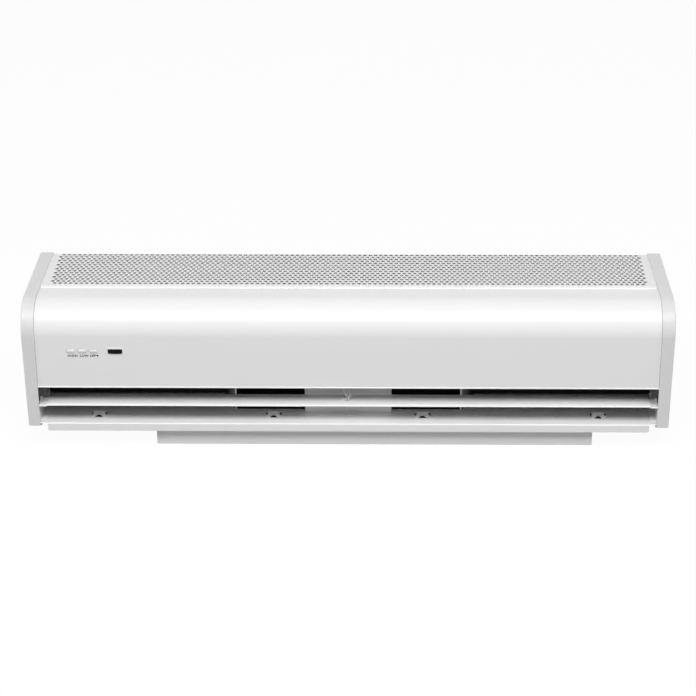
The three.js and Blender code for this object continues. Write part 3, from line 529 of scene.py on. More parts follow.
cameraLook = {"at": (0.055, -2.7989, 1.4814), "along": (-0.01799, 0.898, -0.4399), "roll": -0.006,
              "lens": 113.0}
lightLook = {"keyPower": 95.0, "keyAt": (0, -1.75, 2.8), "keySize": (2.6, 1.3),
             "sidePower": 16.0, "sideAt": (2.9, -0.9, 1.0), "sideSize": 1.2, "sky": 0.16}
floorLook = {"reach": 8.0, "bounce": 0.45, "glow": 0.96}


def aimed(thing, at, target):
    thing.location = at
    thing.rotation_euler = (Vector(target) - Vector(at)).to_track_quat("-Z", "Y").to_euler()
    bpy.context.scene.collection.objects.link(thing)
    return thing


def addLamp(name, power, at, size, sizeY):
    lamp = bpy.data.lights.new(name, "AREA")
    lamp.shape = "RECTANGLE"
    lamp.energy = power
    lamp.size = size
    lamp.size_y = sizeY
    return aimed(bpy.data.objects.new(name, lamp), at, (0, 0, 0.1))


def seenDirectly(tree):  # one for camera, glossy and transmission rays, so metal shows the same white
    def ray(name):
        return tree.node("ShaderNodeLightPath", output=name)
    return tree.maths("MAXIMUM", ray("Is Camera Ray"),
                      tree.maths("MAXIMUM", ray("Is Glossy Ray"), ray("Is Transmission Ray")))


def buildStage():
    scene = bpy.context.scene
    scene.view_settings.view_transform = "Standard"
    camera = bpy.data.objects.new("camera", bpy.data.cameras.new("camera"))
    camera.data.lens = cameraLook["lens"]
    camera.data.sensor_width = 36
    at = Vector(cameraLook["at"])
    scene.camera = aimed(camera, at, at + Vector(cameraLook["along"]))
    camera.rotation_euler.rotate_axis("Z", cameraLook["roll"])

    addLamp("keyLamp", lightLook["keyPower"], lightLook["keyAt"], *lightLook["keySize"])
    x, y, z = lightLook["sideAt"]
    size = lightLook["sideSize"]
    for name, side in (("leftLamp", -1), ("rightLamp", 1)):
        addLamp(name, lightLook["sidePower"], (side * x, y, z), size, size)

    world = bpy.data.worlds.new("world")
    scene.world = world
    world.use_nodes = True
    world.node_tree.nodes.clear()
    tree = Wire(world.node_tree)
    sky = tree.node("ShaderNodeBackground", {}, {"Color": grey(1), "Strength": lightLook["sky"]})
    white = tree.node("ShaderNodeBackground", {}, {"Color": grey(1), "Strength": 1.0})
    mixed = tree.node("ShaderNodeMixShader", {}, {0: seenDirectly(tree), 1: sky, 2: white})
    tree.node("ShaderNodeOutputWorld", {}, {"Surface": mixed})

    reach = floorLook["reach"]
    mesh = bpy.data.meshes.new("floor")
    mesh.from_pydata([(-reach, -reach, 0), (reach, -reach, 0), (reach, reach, 0), (-reach, reach, 0)],
                     [], [(0, 1, 2, 3)])
    floor = bpy.data.objects.new("floor", mesh)
    scene.collection.objects.link(floor)
    material, tree, place = startFinish("paleFloor")
    weave = noise(place, 40.0, 2.0)
    lit = tree.node("ShaderNodeBsdfDiffuse", {}, {"Color": between(weave, grey(0.93), grey(0.96))})
    glow = tree.node("ShaderNodeEmission", {}, {"Color": grey(1), "Strength": 1.0})
    shown = tree.node("ShaderNodeMixShader", {}, {0: floorLook["glow"], 1: lit, 2: glow})
    bounce = tree.node("ShaderNodeBsdfDiffuse", {}, {"Color": grey(floorLook["bounce"])})
    surface = tree.node("ShaderNodeMixShader", {}, {0: seenDirectly(tree), 1: bounce, 2: shown})
    tree.node("ShaderNodeOutputMaterial", {}, {"Surface": surface})
    mesh.materials.append(material)


print("stage")
buildStage()

sheet = 1.2
foldRadius = 1.5
sheetGap = 0.3  # between one folded sheet and the next
bigBendSteps = 40


def rise(value, start, end):  # 0 before start, 1 after end and a smooth way between
    share = min(max((value - start) / (end - start), 0), 1)
    return share * share * (3 - 2 * share)


# Intake grille: a folded sheet with staggered rows of round holes.
grilleLook = {"sheet": 0.5, "flange": 14, "frontBend": 5.5, "rearBend": 2.5, "rows": 15, "firstRow": 88.5,
              "rowPitch": 7.05, "pitch": 7.5, "longRow": 112, "holeRadius": 2.75, "holeSides": 16}


def grillePiece():
    low, high = local("intake_grille")
    look = grilleLook
    half = look["pitch"] / 2
    fieldHalf = half * look["longRow"]
    flatBack = high.y - look["rearBend"]
    rowEdges = [look["firstRow"] + (k - 0.5) * look["rowPitch"] for k in range(look["rows"])]
    rowEdges.append(flatBack)
    toRows = roundedLine([(low.y, high.z - look["flange"]), (low.y, high.z, look["frontBend"]),
                          (rowEdges[0], high.z)], steps=9)
    rearBend = roundedLine([(flatBack, high.z), (high.y, high.z, look["rearBend"]),
                            (high.y, high.z - look["flange"])])[1:]
    stations = [low.x] + [-fieldHalf + half * k for k in range(2 * look["longRow"] + 1)] + [high.x]
    points, faces, places = [], [], {}

    def point(x, y, z=high.z):
        key = (round(x, 3), round(y, 3), round(z, 3))
        if key not in places:
            places[key] = len(points)
            points.append((x, y, z))
        return places[key]

    for bend in (toRows, rearBend):
        for start, end in zip(bend, bend[1:]):
            for left, right in zip(stations, stations[1:]):
                faces.append((point(left, *start), point(right, *start),
                              point(right, *end), point(left, *end)))

    for row in range(look["rows"]):
        near, far = rowEdges[row], rowEdges[row + 1]
        middle = look["firstRow"] + row * look["rowPitch"]
        count = look["longRow"] - (row + 1) % 2
        firstX = -(count - 1) * half
        for k in range(count):
            x = firstX + k * look["pitch"]
            frameLine = [(half, middle), (half, far), (0, far), (-half, far),
                         (-half, middle), (-half, near), (0, near), (half, near)]
            ring = []
            for step in range(look["holeSides"]):
                turn = 2 * pi * step / look["holeSides"]
                ring.append(point(x + look["holeRadius"] * cos(turn),
                                  middle + look["holeRadius"] * sin(turn)))
            for i, (dx, y) in enumerate(frameLine):
                nextDx, nextY = frameLine[(i + 1) % 8]
                inner = [ring[(2 * i + step) % look["holeSides"]] for step in (2, 1, 0)]
                faces.append((point(x + dx, y), point(x + nextDx, nextY), *inner))
        for side in (-1, 1):
            inner = side * (half - firstX)
            edge = [point(inner, near), point(inner, middle), point(inner, far)]
            if count < look["longRow"]:
                outer = side * fieldHalf
                faces.append((*edge, point(outer, far), point(outer, near)))
                edge = [point(outer, near), point(outer, far)]
            end = high.x * side
            faces.append((*edge, point(end, far), point(end, near)))

    piece = addPiece("grille", (points, faces))
    up = sum((face.normal.z for face in piece.data.polygons))
    solid = piece.modifiers.new("sheet", "SOLIDIFY")
    solid.thickness = look["sheet"] * mm
    solid.offset = -1 if up > 0 else 1
    solid.use_even_offset = True
    applied(piece)
    piece.data.shade_smooth()
    piece.data.set_sharp_from_angle(angle=radians(30))
    return stand(piece, "intake_grille")


# Outlet cover with its large front bend, a rolled hem and the openings of the controls.
coverLook = {"hem": 12, "bigRadius": 42.5, "flange": 12, "topDrop": 0.8, "bead": 1.15,
             "beadAt": (0.15, 0.25), "holeGap": 0.4}
buttonNames = ("high", "low", "off")


def softBox(low, high, corner, grow=0.0, steps=6):
    return roundedLine([(low.x - grow, low.z - grow, corner), (high.x + grow, low.z - grow, corner),
                        (high.x + grow, high.z + grow, corner), (low.x - grow, high.z + grow, corner)],
                       True, steps)


def faceBox(node, flange):  # the part of a control that shows in the cover's front
    low, high = local(node)
    return low + Vector((flange, 0, flange)), high - Vector((flange, 0, flange))


def pillOutline(name, grow):
    low, high = faceBox("button_" + name, buttonLook["flange"])
    corner = (high.z - low.z) / 2 + grow - 0.02
    return softBox(low, high, corner, grow, 8)


def coverPiece():
    low, high = local("outlet_cover")
    look = coverLook
    lift = look["topDrop"] * look["bigRadius"] / (high.y - low.y - look["bigRadius"])
    piece = addPiece("cover", foldedSheet([
        (low.y + look["hem"], low.z), (low.y, low.z, foldRadius),
        (low.y, high.z + lift, look["bigRadius"], bigBendSteps),
        (high.y, high.z - look["topDrop"], foldRadius), (high.y, high.z - look["flange"])],
        sheet, (low.x, high.x), steps=6))
    bead = (low.y + look["beadAt"][0], low.z + look["beadAt"][1])
    join(piece, rod(look["bead"], (low.x, high.x), bead, sides=24))
    through = (low.y - 1, low.y + sheet + 1)
    holes = [prism(pillOutline(name, look["holeGap"]), through, "y") for name in buttonNames]
    holes.append(prism(lensOutline(windowLook["bezel"] / 2), through, "y"))
    holes.append(rod(lampLook["radius"] + look["holeGap"], through, middleOf("indicator_lamp"), "y"))
    carve(piece, *holes)
    return stand(settle(piece, 0.2), "outlet_cover")


# End caps: moulded shells whose end faces fall back a little low down and behind, with a lap over
# the grille's corner and sunk screws.
endCapLook = {"wall": 3, "frontRadius": 44, "edgeRadius": 2, "footRadius": 1, "fillet": 1.9, "rimEdge": 0.4,
              "lap": 3.4, "lapInset": 1.25, "lapFromY": (75, 194), "lapFromZ": (100, 176),
              "draftLow": 1.5, "draftLowZ": (55, 115), "draftBack": 2.3, "draftBackY": (70, 190),
              "faceInsets": (6, 14, 26, 42, 60, 78),
              "bossRadius": 5, "bore": 2.4, "recessRadius": 4.2, "recess": 2}
capScrewPlaces = [(60, 120), (150, 60)]
bothSides = (("left", -1), ("right", 1))


def capDraft(y, z):  # how far a cap's end face falls back at a place
    look = endCapLook
    below = look["draftLow"] * (1 - rise(z, *look["draftLowZ"]))
    behind = look["draftBack"] * rise(y, *look["draftBackY"])
    return (below ** 2 + behind ** 2) ** 0.5


def capLap(y, z):  # how far a cap's rim reaches over the grille's corner
    look = endCapLook
    return look["lap"] * rise(y, *look["lapFromY"]) * rise(z, *look["lapFromZ"])


def capOutline(low, high, inset):
    look = endCapLook
    edge = max(look["edgeRadius"] - inset, 0)
    front = max(look["frontRadius"] - inset, 0)
    return roundedLine([(low.y + inset, low.z + inset, min(edge, look["footRadius"])),
                        (high.y - inset, low.z + inset, edge), (high.y - inset, high.z - inset, edge),
                        (low.y + inset, high.z - inset, front, bigBendSteps)], True, 8)


def endCapPiece(word, side):
    low, high = local("end_cap_" + word)
    look = endCapLook
    rim, outer = sorted((abs(low.x), abs(high.x)))
    fillet, edge, wall = look["fillet"], look["rimEdge"], look["wall"]
    inside = outer - wall - look["draftBack"]
    places = [(wall, inside, 0, 0), (wall, rim + edge, 0, 0), (wall - edge, rim, 0, 0),
              (look["lapInset"], rim, 0, 0), (look["lapInset"], rim, 0, 1), (edge, rim, 0, 1),
              (0, rim + edge, 0, 1)]
    for step in range(7):
        turn = pi / 2 * step / 6
        places.append((fillet * (1 - cos(turn)), outer - fillet + fillet * sin(turn), 1, 0))
    places += [(inset, outer, 1, 0) for inset in look["faceInsets"]]
    rings = []
    for inset, x, draft, lap in places:
        rings.append([(side * (x - draft * capDraft(u, v) - lap * capLap(u, v)), u, v)
                      for u, v in capOutline(low, high, inset)])
    piece = addPiece("cap_" + word, loft(rings))
    bossReach = onSide(side, rim + sheetGap + sheet + sheetGap, inside + 1)
    bosses = [rod(look["bossRadius"], bossReach, at) for at in capScrewPlaces]
    join(piece, *bosses)
    cuts = []
    for at in capScrewPlaces:
        seat = outer - look["recess"] - capDraft(*at)
        cuts.append(turned([(0, side * (rim - 1)), (look["bore"], side * (rim - 1)),
                            (look["bore"], side * seat), (look["recessRadius"], side * seat),
                            (look["recessRadius"], side * (outer + 1)), (0, side * (outer + 1))], at))
    carve(piece, *cuts)
    return stand(settle(piece, 0.2), "end_cap_" + word)


# Small black rubber wedge that closes the corner between a cap and the outlet floor: painted shade, a dark
# piece put where the gap there lies in shadow.
shadeWedgeLook = {"outline": ((431.9, 3.5), (428.8, 3.5), (431.2, 0.3)), "front": 0.7, "back": 12}


def shadeWedgePiece(word, side):
    outline = [(side * x, z) for x, z in shadeWedgeLook["outline"]]
    piece = addPiece("cornerWedge_" + word, prism(outline, (shadeWedgeLook["front"], shadeWedgeLook["back"]), "y"))
    return dress(settle(piece, 0.2), "black_rubber", "casing")


# Chassis: the outlet floor with its lip, four lanced tabs and the rear flange.
chassisLook = {"floorTop": 4.8, "lipRadius": 2, "rearFlange": 22, "lipInset": 10, "lipChamfer": 2,
               "bracketScrewX": 200, "bracketScrewY": 143, "screwHole": 2.4}
tabLook = {"x": (-352, -105, 105, 352), "half": 11, "flat": 7, "front": 17.8, "end": 29.8, "height": 4.2,
           "bend": 1.25, "windowHalf": 8, "windowBack": 31.4, "slotFront": 26, "slotBack": 34.4,
           "arch": ((-6.6, 18.5), (6.6, 18.5), (4.7, 20.6), (2.9, 22.8), (1.4, 24), (-1, 24.2),
                    (-2.9, 23), (-4.9, 20.6)),
           "tapeHalf": 13, "tapeFront": 16.5, "tapeBack": 37, "tapeZ": (3.32, 3.58)}


def tabShape(x):  # a tongue pressed up from its front edge, drawn into the floor at both sides
    look = tabLook
    top = chassisLook["floorTop"]
    across = [look["half"] * k / 11 for k in range(-11, 12)]
    across = [-look["half"] - 0.5] + across + [look["half"] + 0.5]
    rings = []
    for step in range(-1, 13):
        y = look["front"] + (look["end"] - look["front"]) * step / 12
        lift = look["height"] * (max(step, 0) / 12) ** look["bend"]
        line = [(x + dx, y, top + lift * (1 - rise(abs(dx), look["flat"], look["half"]))) for dx in across]
        rings.append(line + [(u, y, z - sheet) for u, y, z in reversed(line)])
    return loft(rings)


def chassisPiece():
    low, high = local("chassis_plate")
    look = chassisLook
    tabs = tabLook
    top = look["floorTop"]
    face = high.y - sheet
    piece = addPiece("chassis", foldedSheet([
        (low.y, low.z), (low.y, top, look["lipRadius"]), (face, top, foldRadius),
        (face, top + look["rearFlange"])], sheet, (low.x, high.x), steps=7))
    through = (top - sheet - 1, top + tabs["height"] + 1)
    cuts = []
    for side in (-1, 1):
        lipEnd = high.x - look["lipInset"]
        chamfer = look["lipChamfer"]
        corner = [(lipEnd, top - sheet), (lipEnd, low.z + chamfer), (lipEnd - chamfer - 1, low.z - 1),
                  (high.x + 1, low.z - 1), (high.x + 1, top - sheet)]
        cuts.append(prism([(side * x, z) for x, z in corner], (low.y - 1, look["lipRadius"] + sheet), "y"))
        screwAt = (side * look["bracketScrewX"], look["bracketScrewY"])
        cuts.append(rod(look["screwHole"], through, screwAt, "z"))
    for x in tabs["x"]:
        cuts.append(block((x - tabs["half"], x + tabs["half"]), (tabs["front"], tabs["end"]), through))
    carve(piece, *cuts)
    join(piece, *[tabShape(x) for x in tabs["x"]])
    holes, slots = [], []
    for x in tabs["x"]:
        holes.append(prism([(x + dx, y) for dx, y in tabs["arch"]], through, "z"))
        holes.append(block((x - tabs["windowHalf"], x + tabs["windowHalf"]),
                           (tabs["end"], tabs["windowBack"]), through))
        for side in (-1, 1):
            across = sorted((x + side * tabs["windowHalf"], x + side * tabs["half"]))
            slots.append(block(across, (tabs["slotFront"], tabs["slotBack"]), through))
    carve(piece, *holes)
    carve(piece, *slots)
    return stand(settle(piece, 0.15), "chassis_plate")


def tabShadeTapePiece(i, x):  # black tape under a tab: painted shade, a dark sheet put in the tab's opening where the shade under the unit falls
    look = tabLook
    left, right = x - look["tapeHalf"], x + look["tapeHalf"]
    front, back = look["tapeFront"], look["tapeBack"]
    outline = roundedLine([(left, front, 1), (right, front, 1), (right, back, 1), (left, back, 1)], True)
    piece = addPiece("tabShadeTape_%d" % (i + 1), prism(outline, look["tapeZ"], "z"))
    return dress(settle(piece, 0.05), "black_rubber", "casing")


# Thin painted strip on the outer edge of each blower's mouth.
mouthLook = {"x": (158.2, 160.2), "y": (43.3, 44.2), "z": (5.2, 61.8)}


def mouthEdgePiece(word, side):
    shape = block(onSide(side, *mouthLook["x"]), mouthLook["y"], mouthLook["z"])
    piece = addPiece("mouthEdge_" + word, shape)
    return dress(settle(piece, 0.2), "casing_paint", "casing")


# Black seal on each side plate's flange and wall, above the vane: painted shade, a dark sheet put where the
# ends of the outlet lie in shadow.
endShadeSealLook = {"flange": (424.2, 431.6), "flangeY": (2.1, 3.25), "flangeZ": (46, 60.4),
               "wall": (431.75, 432.25), "wallY": (4.7, 94), "wallZ": (36.5, 61.5)}


def endShadeSealPiece(word, side):
    look = endShadeSealLook
    shapes = [block(onSide(side, *look[part]), look[part + "Y"], look[part + "Z"])
              for part in ("flange", "wall")]
    piece = addPiece("endSeal_" + word, merged(*shapes))
    return dress(settle(piece, 0.1), "black_rubber", "casing")


# Rear panel, stepped in behind the grille, with the hole of the cable bush.
rearLook = {"joggle": 12, "bottomFlange": 16, "bend": 3, "bushHole": 7}


def rearPiece():
    low, high = local("rear_panel")
    look = rearLook
    step = high.z - look["joggle"]
    inner = high.y - sheet - sheetGap
    piece = addPiece("rear", foldedSheet([
        (inner, high.z), (inner, step), (high.y, step - 2 * foldRadius), (high.y, low.z, look["bend"]),
        (high.y - look["bottomFlange"], low.z)], sheet, (low.x, high.x), steps=7))
    carve(piece, rod(look["bushHole"], (high.y - 4, high.y + 2), middleOf("cable_grommet"), "y", 48))
    return stand(settle(piece, 0.2), "rear_panel")


# Wall bracket: a channel with its lips under the casing's floor.
bracketLook = {"sheet": 1.6, "lip": 18, "holeRadius": 4.5, "holePitch": 180, "rows": (45, 115),
               "screwFromBack": 9, "screwHole": 2.4}


def bracketPiece():
    low, high = local("wall_bracket")
    look = bracketLook
    piece = addPiece("bracket", foldedSheet([
        (high.y - look["lip"], high.z), (high.y, high.z, foldRadius), (high.y, low.z, foldRadius),
        (low.y, low.z, foldRadius), (low.y, high.z, foldRadius), (low.y + look["lip"], high.z)],
        look["sheet"], (low.x, high.x)))
    middle = (low.x + high.x) / 2
    holes = []
    for row in look["rows"]:
        for k in (-1, 0, 1):
            holes.append(rod(look["holeRadius"], (low.z - 1, low.z + 3),
                             (middle + k * look["holePitch"], low.y + row), "z", 48))
    for side in (-1, 1):
        holes.append(rod(look["screwHole"], (high.z - 3, high.z + 1),
                         (side * chassisLook["bracketScrewX"], high.y - look["screwFromBack"]), "z"))
    carve(piece, *holes)
    return stand(settle(piece, 0.25), "wall_bracket")


# Vane blade: a flat strip with a lip that droops along its front edge, notched for its support.
pivot = (17, 31.5)  # of the vane's axis
bladeLook = {"thickness": 1.4, "notchHalf": 4.2, "notchFront": 12.9,
             "lip": ((5.6, 33.0), (4.3, 32.6), (3.2, 31.6), (2.4, 31.05), (1.6, 31.15), (1.2, 31.8),
                     (1.45, 32.6), (2.5, 33.55), (4.1, 34.15), (6.0, 34.4))}


def vanePiece():
    low, high = local("vane_blade")
    look = bladeLook
    under = look["lip"][0][1]
    outline = [(high.y, under), *look["lip"], (high.y, under + look["thickness"])]
    piece = addPiece("vane", prism(outline, (low.x, high.x)))
    notch = look["notchHalf"]
    carve(piece, block((-notch, notch), (look["notchFront"], high.y + 1), (low.z - 1, high.z + 1)))
    return stand(settle(piece, 0.2), "vane_blade")


vaneEndLook = {"block": 10, "depth": 3.5, "nose": 1.6, "rear": 24, "rib": (21.6, 23.4), "ribHeight": 0.9,
               "ear": 4.2, "earWidth": 2, "topAbovePivot": 1.2, "pin": 2.2, "pinReach": 4,
               "fin": ((13.2, 33), (20.8, 33), (18.4, 41), (15.8, 41)),
               "tongue": 14, "tongueFront": 6, "tongueBack": 3}


def vaneEndPiece(word, side):
    low, high = local("vane_end_" + word)
    look = vaneEndLook
    outer = max(abs(low.x), abs(high.x)) - look["pinReach"]
    inner = outer - look["block"]
    top = pivot[1] + look["topAbovePivot"]
    bottom = top - look["depth"]
    noseY, noseZ = low.y + look["nose"], bottom + look["nose"]

    outline = [(look["rear"], bottom), (look["rear"], top)]
    for step in range(13):
        turn = pi / 2 + 0.2 + (pi - 0.2) * step / 12
        outline.append((noseY + look["nose"] * cos(turn), noseZ + look["nose"] * sin(turn)))
    piece = addPiece("vaneEnd_" + word, prism(outline, onSide(side, inner, outer)))
    join(piece,
         block(onSide(side, inner - look["tongue"], inner + 1),
               (look["tongueFront"], high.y - look["tongueBack"]), (bottom, top)),
         block(onSide(side, inner + 0.5, outer - 0.5), look["rib"], (top - 1, top + look["ribHeight"])),
         rod(look["ear"], onSide(side, outer - look["earWidth"], outer), pivot, sides=48),
         rod(look["pin"], onSide(side, outer - 1, outer + look["pinReach"]), pivot))
    join(piece, prism(look["fin"], onSide(side, outer - look["earWidth"], outer)))
    return stand(settle(piece, 0.25), "vane_end_" + word)


# Support of the blade's middle: a joggled fin between floor and ceiling, with an arm to the pivot.
supportLook = {"front": 27.1, "back": 34.7, "below": (-1.6, -0.5), "above": (0.4, 1.5), "joggle": (29, 33),
               "floor": 5.1, "ceiling": 61.9, "foot": (9, 23.1, 6.3), "bore": 1.7,
               "arm": ((28, 28.6), (15.4, 28), (13.6, 31.5), (15, 34.6), (15.6, 42.2), (17, 42.8),
                       (20, 40.6), (28, 44.5))}


def supportPiece():
    look = supportLook
    depth = (look["front"], look["back"])
    footX, footFront, footTop = look["foot"]
    piece = addPiece("support", block(look["below"], depth, (look["floor"], look["joggle"][1])))
    join(piece, block((look["below"][0], look["above"][1]), depth, look["joggle"]),
         block((look["below"][0], footX), (footFront, look["back"]), (look["floor"], footTop)))
    join(piece, block(look["above"], depth, (look["joggle"][0], look["ceiling"])))
    join(piece, prism(look["arm"], look["above"]))
    carve(piece, rod(look["bore"], (-3, 3), pivot))
    return stand(settle(piece, 0.15), "vane_support")


# Clip under the blade that straddles the fin, with its cross pin and a curled spring above.
clipLook = {"half": 9, "inside": 1.6, "front": 7, "bridgeBack": 12.6, "rear": 24, "plate": (31.2, 32.7),
            "earRadius": 3.5, "ear": 2, "pin": 1.3, "springY": (17, 23), "springSheet": 0.8,
            "baseY": (14, 26), "base": (34.5, 35.3), "neckY": (14.2, 19.8),
            "spring": ((-8.6, 35.3), (-1.9, 35.3, 1.5), (-2.1, 41.5, 4), (-6.8, 48.4))}


def clipPiece():
    look = clipLook
    inside, half = look["inside"], look["half"]
    piece = addPiece("centreClip", block((-half, half), (look["front"], look["bridgeBack"]), look["plate"]))
    for side in (-1, 1):
        ear = onSide(side, inside, inside + look["ear"])
        arm = onSide(side, inside, half)
        join(piece, block(arm, (look["front"] + 1, look["rear"]), look["plate"]))
        join(piece, rod(look["earRadius"], ear, pivot, sides=48))
    join(piece, rod(look["pin"], (-inside - 1, inside + 1), pivot))
    neck = (-inside - look["ear"], -inside)
    join(piece, block(neck, look["neckY"], (pivot[1], look["base"][1])))
    join(piece, block((-half, -inside), look["baseY"], look["base"]))
    join(piece, foldedSheet(look["spring"], look["springSheet"], look["springY"], "y"))
    return stand(settle(piece, 0.15), "vane_centre_clip")


# Buttons, remote window, lamp and lettering in the front of the cover.
coverFace = local("outlet_cover")[0].y
buttonLook = {"flange": 1.1, "flangeDepth": 1, "stem": 1.5,
              "dome": ((0, 1.15), (0.12, 0.85), (0.4, 0.52), (0.85, 0.25), (1.4, 0.08), (2.1, 0.0))}
windowLook = {"flange": 1.4, "corner": 1.0, "drop": 0.2, "bow": 0.9, "bezel": 1.0, "brow": 1.3,
              "proud": 0.75, "lensBack": 0.35, "lensFlange": 0.9,
              "lensRim": ((-0.05, 0.5), (-0.2, 0.2), (-0.5, 0))}
lampLook = {"radius": 1.1}


def buttonPiece(name):
    node = "button_" + name
    low, high = local(node)
    look = buttonLook
    flange = look["flange"]
    neck = local("button_carrier")[0].y
    back = neck + look["flangeDepth"]
    rings = []
    for grow, y in ((flange, back), (flange, neck), (0, neck)):
        rings.append([(u, y, v) for u, v in pillOutline(name, grow)])
    for inset, depth in look["dome"]:
        rings.append([(u, low.y + depth, v) for u, v in pillOutline(name, -inset)])
    piece = addPiece("button_" + name + "_cap", loft(rings))
    join(piece, rod(look["stem"], (back - 0.5, high.y), middleOf(node), "y", 16))
    return stand(settle(piece, 0, 50), node)


def lensOutline(grow, top=0.0):  # the window's face: a soft box whose lower edge bows down
    low, high = faceBox("receiver_window", windowLook["flange"])
    corner = windowLook["corner"] + max(grow, -0.5)
    middle, half = (low.x + high.x) / 2, (high.x - low.x) / 2 + grow
    outline = roundedLine([(middle - half, low.z - grow, corner), (middle - half / 3, low.z - grow, 0.5),
                           (middle + half / 3, low.z - grow, 0.5), (middle + half, low.z - grow, corner),
                           (middle + half, high.z + grow + top, corner),
                           (middle - half, high.z + grow + top, corner)], True, 6)
    bowed = []
    for u, v in outline:
        bow = windowLook["bow"] * (1 - ((u - middle) / half) ** 2)
        share = rise(v, (low.z + high.z) / 2, low.z)
        bowed.append((u, v - windowLook["drop"] - bow * share))
    return bowed


def windowPiece():
    back = local("receiver_window")[1].y
    look = windowLook
    neck = local("button_carrier")[0].y
    front = coverFace - look["proud"] + look["lensBack"]
    flange = look["lensFlange"]
    rim = [(grow, front + depth) for grow, depth in look["lensRim"]]
    rings = []
    for grow, y in ((flange, back), (flange, neck), (rim[0][0], neck), *rim):
        rings.append([(u, y, v) for u, v in lensOutline(grow)])
    piece = addPiece("window", loft(rings))
    return stand(settle(piece, 0, 50), "receiver_window")


def bezelPiece():
    look = windowLook
    front = coverFace - look["proud"]
    inner = look["bezel"] / 2 - 0.1
    rings = [[(u, y, v) for u, v in lensOutline(grow, top)]
             for grow, top, y in ((0, 0, coverFace + 2), (0, 0, front + 0.2), (0.15, 0.1, front),
                                  (look["bezel"] - 0.6, look["brow"] - 0.5, front),
                                  (look["bezel"] - 0.15, look["brow"] - 0.1, front + 0.25),
                                  (look["bezel"], look["brow"], coverFace - 0.02),
                                  (inner, 0, coverFace - 0.02), (inner, 0, coverFace + 2))]
    piece = addPiece("windowBezel", loft(rings + [rings[0]], capped=False))
    return dress(settle(piece, 0, 50), "button_plastic", "casing")


def lampPiece():
    low, high = local("indicator_lamp")
    radius = lampLook["radius"]
    profile = [(0, high.y), (radius, high.y), (radius, low.y + 0.7)]
    for step in range(1, 7):
        turn = pi / 2 * step / 6
        profile.append((radius * cos(turn) if step < 6 else 0, low.y + 0.7 - 0.7 * sin(turn)))
    piece = addPiece("lamp", turned(profile, middleOf("indicator_lamp"), "y"))
    return stand(settle(piece, 0, 50), "indicator_lamp")


labelLook = {"high": ("HIGH", -380.4, 1.2), "low": ("LOW", -364.4, 1.05), "off": ("OFF", -352.3, 0.95),
             "size": 5.0, "base": 107.8, "relief": 0.03, "stroke": 0.2}


def labelPiece(name):
    text, x, spacing = labelLook[name]
    curve = bpy.data.curves.new("label_" + name, "FONT")
    curve.body = text
    curve.align_x = "CENTER"
    curve.size = labelLook["size"] * mm
    curve.space_character = spacing
    curve.offset = labelLook["stroke"] * mm
    curve.extrude = labelLook["relief"] * mm
    label = bpy.data.objects.new("label_" + name, curve)
    label.location = Vector((x, coverFace, labelLook["base"])) * mm + casingCorner
    label.rotation_euler = (pi / 2, 0, 0)
    bpy.context.scene.collection.objects.link(label)
    curve.materials.append(inkFinish)
    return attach(label, "casing")


# Blower wheels: curved blades between two rings, on a centre disc.
wheelLook = {"blades": 40, "bladeDepth": 9, "blade": 1.0, "lean": 0.30, "leanCurve": 1.6, "ring": 2,
             "ringDepth": 4, "hubHole": 8.3, "disc": 1, "tip": 0.6, "bladeInset": 0.3}


def wheelPiece(word):
    node = "blower_wheel_" + word
    low, high = local(node)
    look = wheelLook
    at = middleOf(node, "yz")
    outer = (high.z - low.z) / 2
    inner = outer - look["bladeDepth"]
    shapes = []
    for x in (low.x, high.x - look["ring"]):
        shapes.append(turned([(outer - look["ringDepth"], x), (outer, x), (outer, x + look["ring"]),
                              (outer - look["ringDepth"], x + look["ring"])], at, sides=80))
    middle = (low.x + high.x) / 2
    disc, hub = look["disc"], look["hubHole"]
    shapes.append(turned([(hub, middle - disc), (outer - 1, middle - disc), (outer - 1, middle + disc),
                          (hub, middle + disc)], at, sides=80))
    for k in range(look["blades"]):
        angle = 2 * pi * k / look["blades"]
        line = []
        for step in range(6):
            share = step / 5
            radius = inner + (outer - look["tip"] - inner) * share
            turn = angle + look["lean"] * share ** look["leanCurve"]
            line.append(Vector((at[0] + radius * cos(turn), at[1] + radius * sin(turn))))
        outline = line + reverseOf(line, look["blade"])[::-1]
        shapes.append(prism(outline, (low.x + look["bladeInset"], high.x - look["bladeInset"])))
    piece = addPiece("wheel_" + word, merged(*shapes))
    return stand(settle(piece, 0), node)


screwLook = {"head": 3.8, "headDepth": 1.4, "shank": 2, "slot": 0.9, "slotReach": 2.3, "slotDepth": 0.9}


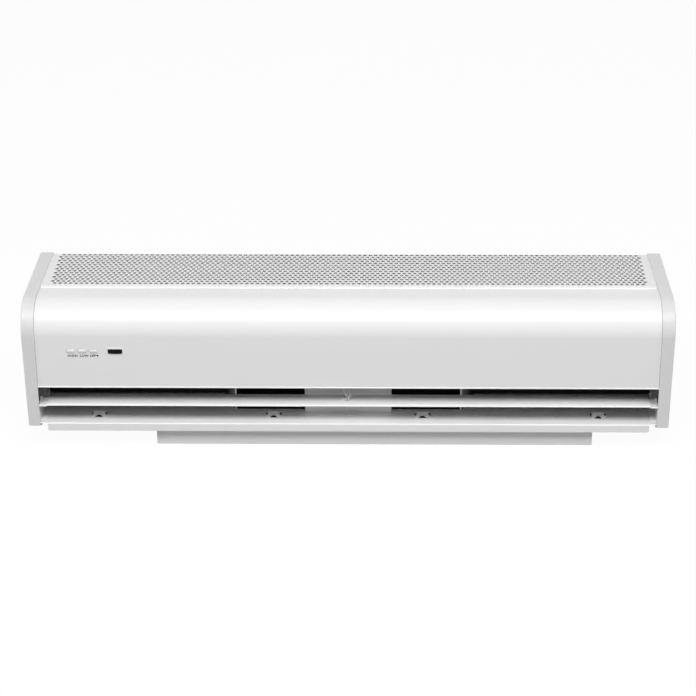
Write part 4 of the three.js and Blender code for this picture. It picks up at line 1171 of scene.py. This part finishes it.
def capScrewPiece(word, side, place):
    node = "cap_screw_%s_%s" % (word, place)
    low, high = local(node)
    look = screwLook
    at = middleOf(node, "yz")
    inner, end = sorted((abs(low.x), abs(high.x)))
    outer = end - capDraft(*at)
    seat = outer - look["headDepth"]
    profile = [(0, inner), (look["shank"], inner + 1), (look["shank"], seat), (look["head"], seat),
               (look["head"], outer - 0.6), (look["head"] - 0.5, outer - 0.2), (look["head"] - 1.4, outer),
               (0, outer)]
    piece = addPiece(node + "_head", turned([(r, side * x) for r, x in profile], at))
    deep = onSide(side, outer - look["slotDepth"], outer + 1)
    half = look["slot"] / 2
    reach = look["slotReach"]
    carve(piece, block(deep, (at[0] - reach, at[0] + reach), (at[1] - half, at[1] + half)))
    carve(piece, block(deep, (at[0] - half, at[0] + half), (at[1] - reach, at[1] + reach)))
    return stand(settle(piece, 0.1), node)


bushLook = {"bore": 4, "neck": 6.7, "flange": 10, "round": 0.5}


def bushPiece():
    low, high = local("cable_grommet")
    panelBack = local("rear_panel")[1].y
    look = bushLook
    inFace = panelBack - sheet - sheetGap
    outFace = panelBack + sheetGap
    flange, soft = look["flange"], look["round"]
    profile = [(look["bore"], low.y), (flange - soft, low.y), (flange, low.y + soft), (flange, inFace),
               (look["neck"], inFace), (look["neck"], outFace), (flange, outFace),
               (flange - soft, high.y), (look["bore"] + soft, high.y), (look["bore"], high.y - soft)]
    piece = addPiece("bush", turned(profile, middleOf("cable_grommet"), "y", 56))
    return stand(settle(piece, 0.15), "cable_grommet")


print("casing")
grillePiece()
coverPiece()
chassisPiece()
for i, x in enumerate(tabLook["x"]):
    tabShadeTapePiece(i, x)
rearPiece()
bracketPiece()
for word, side in bothSides:
    endCapPiece(word, side)
    shadeWedgePiece(word, side)
    mouthEdgePiece(word, side)
    endShadeSealPiece(word, side)
    for place in ("front", "rear"):
        capScrewPiece(word, side, place)

print("vane")
vanePiece()
supportPiece()
clipPiece()
for word, side in bothSides:
    vaneEndPiece(word, side)

print("controls")
for name in buttonNames:
    buttonPiece(name)
    labelPiece(name)
windowPiece()
bezelPiece()
lampPiece()

print("blowers")
for word in ("left", "right"):
    wheelPiece(word)
bushPiece()

print("nodes that stay")
for name, node in frame["nodes"].items():
    if node.hide_render:
        continue
    node.data.materials.clear()
    node.data.materials.append(finishes[slotOf[name]])
